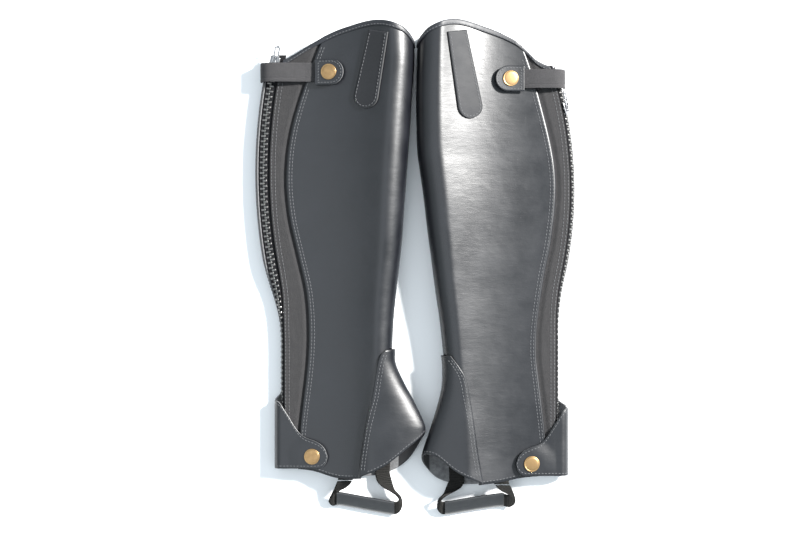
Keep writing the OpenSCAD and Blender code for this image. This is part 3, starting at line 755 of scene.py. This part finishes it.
def strap_at(s, u, w, d):
    """w runs -1 to 1 across the strap's width; d is the height over its middle."""
    p, a, b = strap_point(s, u), strap_point(s, max(0, u - 0.01)), strap_point(s, min(1, u + 0.01))
    n = (-(b[1] - a[1]), b[0] - a[0])
    m = math.hypot(*n)
    thin = 1 - 0.35 * abs(w) ** 8 - 0.3 * math.exp(-((w + 0.6) / 0.07) ** 2)
    return (p[0] + n[0] / m * d * thin, STRAP_Y[s] + w * STRAP_W / 2, p[1] + n[1] / m * d * thin)


def strap_elastic(s, m):
    def at(u, w, d):
        return strap_at(s, u, w, d)
    grids = two_faces(at, spaced(70), spaced(44, -1, 1), -STRAP_T / 2, STRAP_T / 2)
    return sheet("strap_elastic", s, *grids, m["strap"])


def tip_point(s, t, u, inset, d):
    """The strap's leather end: t is the distance from the snap's middle towards its round end."""
    c = STRAP_SNAP_X[s] + 2
    r = TIP_R - inset
    w = r if t <= 0 else math.sqrt(max(0.01, r * r - t * t))
    return drape(s, c + t, STRAP_Y[s] + w * u, d)


def strap_tip(s, m):
    ts = spaced(24, -15.5, 0) + [TIP_R * sin(f) for f in range(5, 90, 5)]

    def at(t, u, d):
        return tip_point(s, t, u, 0, d)
    grids = two_faces(at, ts, spaced(20, -1, 1), -LIFT, -LIFT - LEATHER_T)
    return sheet("strap_tip", s, *grids, m["leather"], m["suede"], m["raw"])


def heel_lift(s, x, y):
    c = snap_centre(s, 1)
    r = min(1, math.hypot(x - c[0], y - c[1]) / 26)
    return 0.5 + (LIFT - 0.5) * (1 - r ** 3) ** 2


def heel_point(s, k, v, d):
    c, o = HEEL_X[s] + HEEL_R, HEEL_SHIFT[s][0]
    tip = -83.3 + o
    x = c - HEEL_R * sin(mix(HEEL_TURN, 0, k)) if k < 1 else c + (tip - c) * sin(90 * (k - 1))
    y = HEEL_SHIFT[s][1] + mix(curve(x - o, HEEL_DOWN), curve(x - o, HEEL_UP), v)
    if k < 1:
        b = mix(HEEL_TURN, 0, k)
        return (c - (HEEL_R - d) * sin(b), y, HEEL_R + (HEEL_R - d) * cos(b))
    p = drape(s, x, y, d - heel_lift(s, x, y) - LEATHER_T)
    e = ease(0, HEEL_BLEND, x - c)
    z = 2 * HEEL_R - d
    return (mix(x, p[0], e), y, max(mix(z, p[2], e), z if x - c < HEEL_BLEND else 0))


def heel_tab(s, m):
    def at(k, v, d):
        return heel_point(s, k, v, d)
    grids = two_faces(at, spaced(20) + spaced(60, 1, 1.97)[1:], spaced(40), LEATHER_T)
    return sheet("heel_tab", s, *grids, m["leather"], m["suede"], m["raw"])


# Elastic under the boot and its sleeve ----------------------------
def route(pts, t):
    return Vector([curve(t, [(k, p[j]) for k, p in enumerate(pts)]) for j in range(3)])


def foot_frame(s, t):
    """Middle, sideways and outward directions of the elastic under the boot at t along its route."""
    side = route(FOOT_ACROSS, t).normalized()
    along = route(FOOT_ROUTE[s], t + 0.02) - route(FOOT_ROUTE[s], t - 0.02)
    return route(FOOT_ROUTE[s], t), side, along.cross(side).normalized()


def webbing(name, s, m, frames):
    """A flat band of elastic through (middle, sideways, outward) frames."""
    us, half = spaced(8, -1, 1), ELASTIC_T / 2
    outer = [[tuple(o + a * (u * FOOT_W / 2) + n * half) for u in us] for o, a, n in frames]
    inner = [[tuple(o + a * (u * FOOT_W / 2) - n * half) for u in us] for o, a, n in frames]
    return sheet(name, s, outer, inner, m["webbing"])


def foot_elastic(s, m):
    return webbing("foot_elastic", s, m, [foot_frame(s, t) for t in spaced(240, 0.45, 12.6)])


def foot_root(s, m, end):
    """The sewn end of the elastic: end 0 under the outer leather, 1 over the vamp's lower layer."""
    last = route(FOOT_ROUTE[s], 13 if end else 0)
    side = route(FOOT_ACROSS, 13 if end else 0).normalized()
    near, far = FOOT_ROOT[s][end]
    frames = []
    for t in spaced(20):
        z = mix(last[2], far[2], ease(0, 1, t))
        frames.append((Vector((mix(last[0], far[0], t), mix(near, far[1], t), z)), side, Vector((0, 0, 1))))
    return webbing("foot_root", s, m, frames)


def foot_sleeve(s, m):
    """A flattened tube slid over the elastic, open at both ends."""
    w, count = FOOT_W / 2 + 1, 40
    frames = [foot_frame(s, t) for t in spaced(70, 4.7, 7.3)]

    def ring(o, a, n, thin):
        pts = []
        for i in range(count):
            f = 360 * i / count
            x = math.copysign(abs(cos(f)) ** 0.8, cos(f)) * (w - thin)
            z = math.copysign(abs(sin(f)) ** 0.9, sin(f)) * (2 - thin)
            pts.append(tuple(o + a * x + n * z))
        return pts
    rings = [ring(*f, 0) for f in frames] + [ring(*f, 0.8) for f in frames[::-1]]
    return loop("foot_sleeve", s, rings, m["sleeve"])


# Stitches ----------------------------
def stitches(name, s, path, material, length=2.5, pitch=3.3, r=0.29):
    """A row of short threads along a line of surface points, given as (point, outward)."""
    lengths = [0.0]
    for (a, _), (b, _) in zip(path, path[1:]):
        lengths.append(lengths[-1] + (Vector(b) - Vector(a)).length)

    def at(v):
        i = 0
        while i < len(lengths) - 2 and lengths[i + 1] < v:
            i += 1
        t = clamp((v - lengths[i]) / max(1e-6, lengths[i + 1] - lengths[i]), 0, 1)
        p = Vector(path[i][0]).lerp(Vector(path[i + 1][0]), t)
        return p, Vector(path[i][1]).lerp(Vector(path[i + 1][1]), t).normalized()
    count = int((lengths[-1] - length) / pitch) + 1
    rng = random.Random(len(name) * 7 + s)
    verts, faces = [], []
    for j in range(count):
        start = j * pitch + rng.uniform(-0.08, 0.08)
        turned = rng.uniform(-0.12, 0.12)
        rings = []
        for t, sink, size in ((0, -0.35, 0.45), (0.12, 0.0, 0.85), (0.32, 0.17, 1), (0.68, 0.17, 1),
                              (0.88, 0.0, 0.85), (1, -0.35, 0.45)):
            p, n = at(start + t * length)
            q = at(start + t * length + 0.3)[0]
            side = (q - p).cross(n).normalized() if (q - p).length > 1e-4 else None
            if side is None:
                side = (p - at(start + t * length - 0.3)[0]).cross(n).normalized()
            c = p + n * sink + side * (turned * (t - 0.5) * 2)
            rings.append([tuple(c + side * (r * size * cos(a)) + n * (r * size * sin(a)))
                          for a in range(0, 360, 60)])
        a = len(verts)
        verts += [world(s, p) for ring in rings for p in ring]
        faces += [(a + i * 6 + k, a + i * 6 + (k + 1) % 6, a + i * 6 + 6 + (k + 1) % 6, a + i * 6 + 6 + k)
                  for i in range(5) for k in range(6)]
        faces += [tuple(a + k for k in range(5, -1, -1)), tuple(a + 30 + k for k in range(6))]
    return add_object(name, verts, faces, [material])


def joined(name, parts):
    """One object from several of the same material."""
    verts, faces = [], []
    for part in parts:
        a = len(verts)
        verts += [v.co[:] for v in part.data.vertices]
        faces += [tuple(a + i for i in poly.vertices) for poly in part.data.polygons]
    material = parts[0].data.materials[0]
    for part in parts:
        bpy.data.objects.remove(part)
    return oriented(add_object(name, verts, faces, [material]))


def seen(point, *args):
    """A surface point with its outward direction, from point(*args, depth)."""
    p, q = point(*args, 0), point(*args, 1)
    return p, tuple(a - b for a, b in zip(p, q))


def path_stitches(s, m, name, body, slot, rows, **kw):
    """Several rows of stitches as one piece: each row is a list of (point, outward)."""
    parts = [stitches(name, s, row, m["thread"], **kw) for row in rows]
    obj = joined(f"{SIDES[s]}_{name}", parts)
    return finish_piece(obj, body, None)


def seam_stitches(s):
    """Two rows beside the leather's rear edge."""
    rows = []
    for inset in (2.6, 5.2):
        row = []
        for v in spaced(170, 0.055, 0.985):
            y = outer_y(s, 2, v)
            x = seam_x(s, y) + inset
            row.append(seen(lambda d, x=x, y=y: on_top(s, y, x, d)))
        rows.append(row)
    return rows


def chain_stitches(s):
    """Two rows on the elastic beside the chain."""
    rows = []
    for back in (1.6, 5.0):
        row = []
        for v in spaced(170, 0.02, 0.98):
            y = elastic_y(s, 1, v)
            w = elastic_w(s, y, 1) + back
            row.append(seen(lambda d, y=y, w=w: at_surface(s, y, w, elastic_depth(s, y, w) + d)))
        rows.append(row)
    return rows


def inner_stitches(s):
    """A row on the inner leather beside the chain, above the heel tab."""
    low = 84 if s == 0 else 78
    row = []
    for y in spaced(170, low, ZIP_END[s][1] - 12):
        b = math.degrees((EDGE + 2.2 - roll(s, y)) / REAR_R)
        row.append(seen(lambda d, y=y, b=b: on_rear(s, y, b, d)))
    return [row]


def binding_stitches(s):
    """One row on the binding, round the knee edge."""
    row = []
    for k in spaced(150, 0.5, 1.96):
        y = outer_y(s, k, 1) - BINDING_ROW
        row.append(seen(lambda d, y=y, k=k: outer_section(s, y, k, d - BINDING_OVER)))
    second = []
    for k in spaced(60, 2.06, 2.93):
        second.append(seen(lambda d, k=k: bind_point(s, k, d - BINDING_OVER, BINDING_ROW)))
    return [row, second]


def tab_stitches(s):
    """A border row round the knee tab."""
    length = tab_axis(s)[1]
    end = length - TAB_ROUND
    ls = spaced(40, 6.5, end)
    ends = [end + 10 * sin(f) for f in range(6, 90, 6)]
    row = [seen(lambda d, at=at: tab_point(s, at, -1, 2, d - 1.8)) for at in ls + ends]
    tip = [seen(lambda d, u=u: tab_point(s, length - 2, u, 2, d - 1.8)) for u in (-0.5, 0, 0.5)]
    back = [seen(lambda d, at=at: tab_point(s, at, 1, 2, d - 1.8)) for at in (ls + ends)[::-1]]
    return [row + tip + back]


def vamp_stitches(s):
    """Two rows inside the vamp's seam, and one along its lower edge."""
    rows = []
    for inset in (2.4, 5.2):
        row = []
        for v in spaced(80, 0.06, 0.97):
            y = vamp_y(s, 0, v)
            reach = curve(y, VAMP_FRONT[s]) - curve(y, VAMP_SEAM[s])
            u = math.degrees(math.asin(clamp(inset / reach, 0, 1))) / 90
            row.append(seen(lambda d, y=y, u=u: vamp_point(s, y, u, d)))
        rows.append(row)
    low = []
    for u in spaced(60, 0.08, 0.95):
        y = vamp_y(s, u, 0) + 2.6
        low.append(seen(lambda d, y=y, u=u: vamp_point(s, y, u, d)))
    return rows + [low]


def hem_stitches(s):
    """A row along the lower edge of the outer leather, behind the vamp."""
    row = []
    x0, x1 = seam_x(s, 0) + 3, curve(6, VAMP_SEAM[s]) - 1.5
    for x in spaced(50, x0, x1):
        y = hem_y(s, x) + 2.8
        row.append(seen(lambda d, x=x, y=y: on_top(s, y, x, d)))
    return [row]


def tip_stitches(s):
    """A border row on the strap's leather end, slanted dashes across its square edge."""
    ts = spaced(16, -13, 0) + [10 * sin(f) for f in range(6, 90, 6)]

    def at(t, u):
        return seen(lambda d: tip_point(s, t, u, 2, d - LIFT - LEATHER_T))
    row = [at(t, -1) for t in ts] + [at(9.98, 0)] + [at(t, 1) for t in ts[::-1]]
    cross = [[at(-14 + 0.9, u - 0.09), at(-14 + 3.1, u + 0.09)] for u in spaced(6, -0.8, 0.8)]
    return [row] + cross


def heel_stitches(s):
    """A border row on the heel tab, inside its curved edge and its lower edge."""
    rows = []
    for edge_v in (0, 1):
        row = []
        for k in spaced(90, 0.25, 1.9):
            a, b = heel_point(s, k, 0, 0), heel_point(s, k, 1, 0)
            reach = max(6, (Vector(a) - Vector(b)).length)
            v = 2.4 / reach if edge_v == 0 else 1 - 2.4 / reach
            row.append(seen(lambda d, k=k, v=v: heel_point(s, k, v, d)))
        rows.append(row)
    return [rows[0] + rows[1][::-1]]


# Materials ----------------------------
class Nodes:
    """A material's node tree, built with few words."""

    def __init__(self, name):
        self.mat = bpy.data.materials.new(name)
        self.mat.use_nodes = True
        self.tree = self.mat.node_tree
        self.tree.nodes.clear()
        self.shader = self.add("ShaderNodeBsdfPrincipled")
        out = self.add("ShaderNodeOutputMaterial")
        self.link(self.shader, "BSDF", out, "Surface")

    def add(self, kind, **values):
        node = self.tree.nodes.new(kind)
        for key, value in values.items():
            if hasattr(node, key):
                setattr(node, key, value)
            else:
                node.inputs[key.replace("_", " ")].default_value = value
        return node

    def link(self, a, out, b, into):
        self.tree.links.new(a.outputs[out], b.inputs[into])

    def coords(self, kind="Object", scale=(1, 1, 1)):
        tex = self.add("ShaderNodeTexCoord")
        mapping = self.add("ShaderNodeMapping")
        mapping.inputs["Scale"].default_value = scale
        self.link(tex, kind, mapping, "Vector")
        return mapping

    def noise(self, at, scale, detail=4, rough=0.6):
        node = self.add("ShaderNodeTexNoise", Scale=scale, Detail=detail, Roughness=rough)
        self.link(at, "Vector", node, "Vector")
        return node

    def ramp(self, source, out, stops):
        """Colours between positions: stops are (position, colour)."""
        node = self.add("ShaderNodeValToRGB")
        elements = node.color_ramp.elements
        while len(elements) < len(stops):
            elements.new(0.5)
        for element, (position, colour) in zip(elements, stops):
            element.position = position
            element.color = colour if len(colour) == 4 else (*colour, 1)
        self.link(source, out, node, "Fac")
        return node

    def grey(self, source, out, stops):
        return self.ramp(source, out, [(p, (v, v, v)) for p, v in stops])

    def math(self, kind, a, a_out, b=None, b_out=None, value=None):
        node = self.add("ShaderNodeMath", operation=kind)
        self.tree.links.new(a.outputs[a_out], node.inputs[0])
        if b is not None:
            self.tree.links.new(b.outputs[b_out], node.inputs[1])
        elif value is not None:
            node.inputs[1].default_value = value
        return node

    def bump(self, source, out, distance, strength=1.0, before=None):
        node = self.add("ShaderNodeBump", Strength=strength, Distance=distance)
        self.link(source, out, node, "Height")
        if before:
            self.link(before, "Normal", node, "Normal")
        return node

    def finish(self, colour=None, rough=None, normal=None, **values):
        if colour:
            self.tree.links.new(colour.outputs[0 if colour.bl_idname != "ShaderNodeMix" else 2],
                                self.shader.inputs["Base Color"])
        if rough:
            self.tree.links.new(rough.outputs[0], self.shader.inputs["Roughness"])
        if normal:
            self.link(normal, "Normal", self.shader, "Normal")
        for key, value in values.items():
            self.shader.inputs[key.replace("_", " ")].default_value = value
        return self.mat


def leather(name="leather", rough=(0.3, 0.46), coat=0.22):
    """Smooth dark leather with fine creases, rubbed patches and small scratches."""
    n = Nodes(name)
    at = n.coords()
    grain = n.add("ShaderNodeTexVoronoi", Scale=1500)
    n.link(at, "Vector", grain, "Vector")
    wide = n.noise(at, 28, 5, 0.6)
    creased = n.coords("Object", (55, 210, 40))
    creases = n.noise(creased, 1, 6, 0.72)
    scratched = n.coords("Object", (900, 160, 300))
    scratches = n.noise(scratched, 1, 3, 0.5)
    colour = n.ramp(wide, "Fac", ((0.3, (0.0022, 0.0027, 0.0044)), (0.7, (0.0048, 0.0056, 0.0082))))
    shine = n.grey(wide, "Fac", ((0.25, rough[0]), (0.75, rough[1])))
    marks = n.grey(scratches, "Fac", ((0.66, 0), (0.74, 1)))
    soft = n.bump(n.noise(at, 24, 3, 0.5), "Fac", 0.0025, 0.25)
    folds = n.bump(creases, "Fac", 0.0004, 0.35, soft)
    pores = n.bump(grain, "Distance", 0.00005, 0.5, folds)
    lines = n.bump(marks, "Color", 0.00003, 0.5, pores)
    return n.finish(colour, shine, lines, Specular_IOR_Level=0.5, Coat_Weight=coat, Coat_Roughness=0.34)


def smooth_leather():
    """The binding's thinner, smoother leather."""
    n = Nodes("binding")
    at = n.coords()
    wide = n.noise(at, 60, 4, 0.6)
    fine = n.noise(at, 700, 3, 0.6)
    colour = n.ramp(wide, "Fac", ((0.3, (0.007, 0.008, 0.011)), (0.7, (0.013, 0.0145, 0.019))))
    shine = n.grey(wide, "Fac", ((0.3, 0.42), (0.7, 0.56)))
    return n.finish(colour, shine, n.bump(fine, "Fac", 0.0001, 0.6), Specular_IOR_Level=0.45)


def suede():
    """The leather's rough back."""
    n = Nodes("suede")
    at = n.coords()
    wide = n.noise(at, 90, 6, 0.7)
    nap = n.noise(at, 2600, 4, 0.7)
    colour = n.ramp(wide, "Fac", ((0.3, (0.04, 0.04, 0.042)), (0.7, (0.2, 0.2, 0.205))))
    shine = n.grey(nap, "Fac", ((0, 0.85), (1, 1)))
    return n.finish(colour, shine, n.bump(nap, "Fac", 0.0003, 0.8), Sheen_Weight=0.3, Sheen_Roughness=0.6)


def lining():
    """Painted shade: a smooth black surface inside the foot opening, standing in for the shadow on the inside
    of the vamp's lower layer.
    """
    n = Nodes("lining")
    at = n.coords()
    wide = n.noise(at, 70, 5, 0.6)
    colour = n.ramp(wide, "Fac", ((0.3, (0.004, 0.004, 0.005)), (0.7, (0.012, 0.012, 0.013))))
    shine = n.grey(wide, "Fac", ((0.3, 0.5), (0.7, 0.7)))
    return n.finish(colour, shine, n.bump(wide, "Fac", 0.0004, 0.5))


def cut_edge(name, low, high):
    """A cut leather edge, showing the fibres between its two faces."""
    n = Nodes(name)
    at = n.coords()
    fibres = n.noise(at, 1500, 5, 0.7)
    colour = n.ramp(fibres, "Fac", ((0.3, (low, low, low * 1.04)), (0.7, (high, high, high * 1.04))))
    shine = n.grey(fibres, "Fac", ((0, 0.7), (1, 0.95)))
    return n.finish(colour, shine, n.bump(fibres, "Fac", 0.0002, 0.8))


def woven(name, dark, light, across, along, depth, tint=1.0, flecks=0.0):
    """Ribbed elastic or webbing: fine ribs across, yarns along, on the sheet's own measure in mm."""
    n = Nodes(name)
    uv = n.coords("UV")
    ribs = n.add("ShaderNodeTexWave", Scale=across, Distortion=0.6, Detail=2)
    ribs.bands_direction = "Y"
    ribs.inputs["Detail Scale"].default_value = 2
    yarns = n.add("ShaderNodeTexWave", Scale=along, Distortion=0.4, Detail=1)
    yarns.bands_direction = "X"
    n.link(uv, "Vector", ribs, "Vector")
    n.link(uv, "Vector", yarns, "Vector")
    weave = n.math("MULTIPLY", ribs, "Fac", yarns, "Fac")
    cloud = n.noise(uv, 0.11, 5, 0.65)
    heather = n.noise(uv, 1.6, 3, 0.8)
    base = n.math("ADD", weave, 0, heather, "Fac")
    spread = n.math("MULTIPLY", base, 0, value=0.5)
    middle = tuple((a + b) / 2 for a, b in zip(dark, light))
    colour = n.ramp(spread, 0, ((0.22, dark), (0.45, middle), (0.72 - flecks, light)))
    shade = n.add("ShaderNodeMix", data_type="RGBA", blend_type="MULTIPLY")
    shade.inputs[0].default_value = 0.5
    n.tree.links.new(colour.outputs[0], shade.inputs[6])
    patches = n.grey(cloud, "Fac", ((0.25, 0.62 * tint), (0.75, tint)))
    n.tree.links.new(patches.outputs[0], shade.inputs[7])
    rough = n.grey(heather, "Fac", ((0, 0.82), (1, 0.98)))
    normal = n.bump(weave, 0, depth, 0.9, n.bump(cloud, "Fac", 0.0006, 0.5))
    return n.finish(shade, rough, normal, Specular_IOR_Level=0.15)


def metal(name, colour, rough, scale, worn=0.12):
    """Plated metal with a brushed, slightly worn face."""
    n = Nodes(name)
    at = n.coords()
    wide = n.noise(at, scale, 5, 0.6)
    fine = n.noise(at, scale * 14, 3, 0.6)
    dull = tuple(c * 0.72 for c in colour)
    tone = n.ramp(wide, "Fac", ((0.25, dull), (0.7, colour)))
    shine = n.grey(wide, "Fac", ((0.25, rough + worn), (0.75, rough)))
    return n.finish(tone, shine, n.bump(fine, "Fac", 0.00004, 0.6), Metallic=1.0)


def gloss():
    """The sleeve's glossy coated face."""
    n = Nodes("sleeve")
    at = n.coords()
    wide = n.noise(at, 160, 4, 0.6)
    colour = n.ramp(wide, "Fac", ((0.3, (0.004, 0.004, 0.005)), (0.7, (0.009, 0.009, 0.01))))
    shine = n.grey(wide, "Fac", ((0.2, 0.1), (0.8, 0.24)))
    return n.finish(colour, shine, n.bump(wide, "Fac", 0.0005, 0.4), Specular_IOR_Level=0.7, Coat_Weight=0.8,
                    Coat_Roughness=0.3)


def thread():
    """Waxed grey sewing thread, two strands twisted."""
    n = Nodes("thread")
    at = n.coords()
    fine = n.noise(at, 2400, 3, 0.7)
    colour = n.ramp(fine, "Fac", ((0.3, (0.045, 0.046, 0.05)), (0.7, (0.12, 0.122, 0.128))))
    shine = n.grey(fine, "Fac", ((0, 0.55), (1, 0.75)))
    return n.finish(colour, shine, n.bump(fine, "Fac", 0.0001, 0.5))


def materials():
    return {
        "leather": leather(), "tab": leather("tab_leather", (0.62, 0.75), 0.0),
        # The smooth black material is painted shade for the shadowed inside of the vamp.
        "binding": smooth_leather(), "suede": suede(), "lining": lining(), "thread": thread(),
        "edge": cut_edge("edge", 0.02, 0.07), "raw": cut_edge("raw_edge", 0.06, 0.16), "sleeve": gloss(),
        "elastic": woven("elastic", (0.024, 0.0235, 0.0245), (0.075, 0.073, 0.075), 0.55, 0.8, 0.00025),
        "strap": woven("strap", (0.022, 0.0215, 0.0225), (0.11, 0.107, 0.111), 0.45, 0.6, 0.0003, flecks=0.1),
        "webbing": woven("webbing", (0.006, 0.006, 0.006), (0.045, 0.043, 0.04), 0.2, 0.35, 0.0004),
        "tape": woven("tape", (0.006, 0.006, 0.007), (0.022, 0.022, 0.024), 0.5, 0.5, 0.0002),
        "teeth": metal("teeth", (0.19, 0.186, 0.18), 0.26, 500),
        "chrome": metal("chrome", (0.34, 0.34, 0.35), 0.2, 300),
        "brass": metal("brass", (0.39, 0.25, 0.12), 0.34, 260),
    }


# Putting it together ----------------------------
CHAP_PIECES = (
    ("outer_panel", outer_panel, "leather"), ("inner_panel", inner_panel, "inner_leather"),
    ("calf_elastic", calf_elastic, "elastic"), ("top_binding", top_binding, "binding"),
    ("swagger_tab", swagger_tab, "leather"), ("vamp", vamp, "leather"), ("zip_stops", zip_stops, "zip_metal"))
STRAP_FLAPS = (("strap_elastic", strap_elastic, "elastic"), ("strap_tip", strap_tip, "leather"))
HEEL_FLAPS = (("heel_tab", heel_tab, "leather"),)


def chap_pieces(s, m):
    side = SIDES[s]
    body = f"{side}_chap"
    for name, make, slot in CHAP_PIECES:
        add_piece(make(s, m), side, name, body)
    for name, sign in (("outer", 1), ("inner", -1)):
        add_piece(zip_tape(s, m, sign, "zip_tape"), side, f"zip_tape_{name}", body)
        add_piece(zip_teeth(s, m, sign, "zip_teeth"), side, f"zip_teeth_{name}", body)


def snapped_pieces(s, m, body, flaps):
    """The flaps of a snapped body with its cap and socket: snap 0 is on the strap, 1 on the heel tab."""
    side, i = SIDES[s], ("strap", "heel").index(body)
    for name, make, slot in flaps:
        add_piece(make(s, m), side, name, f"{side}_{body}")
    add_piece(snap_cap(s, m, i, "cap"), side, f"{body}_cap", f"{side}_{body}")
    add_piece(snap_socket(s, m, i, "socket"), side, f"{body}_socket", f"{side}_{body}")


def loose_pieces(s, m):
    side = SIDES[s]
    add_piece(zip_slider(s, m), side, "zip_slider", f"{side}_slider")
    add_piece(zip_pull(s, m), side, "zip_pull", f"{side}_pull")
    add_piece(foot_elastic(s, m), side, "foot_elastic", f"{side}_foot_strap")
    for end in (0, 1):
        root = foot_root(s, m, end)
        root.name = f"{side}_foot_root_{end}_look"
        finish_piece(root, f"{side}_chap", None)
    add_piece(foot_sleeve(s, m), side, "foot_sleeve", f"{side}_foot_strap")


def add_piece(obj, side, name, body):
    obj.name = f"{side}_{name}_look"
    return finish_piece(obj, body, f"{side}_{name}")


THREADS = (
    ("seam_thread", "chap", "leather", seam_stitches), ("chain_thread", "chap", "elastic", chain_stitches),
    ("inner_thread", "chap", "inner_leather", inner_stitches),
    ("binding_thread", "chap", "binding", binding_stitches), ("tab_thread", "chap", "leather", tab_stitches),
    ("vamp_thread", "chap", "leather", vamp_stitches), ("hem_thread", "chap", "leather", hem_stitches))


def thread_pieces(s, m):
    side = SIDES[s]
    for name, body, slot, rows in THREADS:
        path_stitches(s, m, name, f"{side}_{body}", slot, rows(s))
    path_stitches(s, m, "tip_thread", f"{side}_strap", "leather", tip_stitches(s), length=2.2, pitch=3)
    path_stitches(s, m, "heel_thread", f"{side}_heel", "leather", heel_stitches(s))


def plate_snaps(s, m):
    """The stud and rivet of each snap keep the frame's own shape, in brass."""
    for name in ("snap_studs", "snap_rivets"):
        node = frame["nodes"][f"{SIDES[s]}_{name}"]
        node.data.materials.clear()
        node.data.materials.append(m["brass"])


def floor():
    size = 6
    corners = [(-size, -size, 0), (size, -size, 0), (size, size, 0), (-size, size, 0)]
    n = Nodes("floor")
    at = n.coords()
    tone = n.ramp(n.noise(at, 3, 2, 0.5), "Fac", ((0, (0.86, 0.87, 0.885)), (1, (0.89, 0.9, 0.915))))
    material = n.finish(tone, None, None, Roughness=0.9, Specular_IOR_Level=0.1)
    add_object("floor", corners, [(0, 1, 2, 3)], [material])


def area_light(name, azimuth, elevation, distance, size, power, colour):
    light = bpy.data.lights.new(name, "AREA")
    light.energy = power
    light.size = size
    light.color = colour
    obj = bpy.data.objects.new(name, light)
    at = Vector((cos(elevation) * cos(azimuth), cos(elevation) * sin(azimuth), sin(elevation))) * distance
    obj.location = at
    obj.rotation_euler = (-at).to_track_quat("-Z", "Y").to_euler()
    bpy.context.collection.objects.link(obj)


KEY = dict(azimuth=27, elevation=35, distance=3.2, size=0.34, power=440, colour=(1.0, 0.985, 0.96))
FILL = dict(azimuth=200, elevation=68, distance=3.0, size=2.6, power=22, colour=(0.93, 0.96, 1.0))
SKY = (0.84, 0.94, 1.0, 1)
SKY_STRENGTH = 0.9


def lights():
    area_light("key", **KEY)
    area_light("fill", **FILL)
    world = bpy.data.worlds.new("studio")
    world.use_nodes = True
    background = world.node_tree.nodes["Background"]
    background.inputs["Color"].default_value = SKY
    background.inputs["Strength"].default_value = SKY_STRENGTH
    bpy.context.scene.world = world
    bpy.context.scene.view_settings.view_transform = "Standard"


LENS = 85
SENSOR = 36
CAMERA_AT = (-0.0147, 0.0027, 1.806)


def camera():
    """Straight down, as the pair was photographed."""
    data = bpy.data.cameras.new("camera")
    data.lens = LENS
    data.sensor_width = SENSOR
    obj = bpy.data.objects.new("camera", data)
    obj.location = CAMERA_AT
    bpy.context.collection.objects.link(obj)
    bpy.context.scene.camera = obj


def build():
    m = materials()
    for s in (0, 1):
        chap_pieces(s, m)
        snapped_pieces(s, m, "strap", STRAP_FLAPS)
        snapped_pieces(s, m, "heel", HEEL_FLAPS)
        loose_pieces(s, m)
        thread_pieces(s, m)
        plate_snaps(s, m)
    floor()
    lights()
    camera()


build()
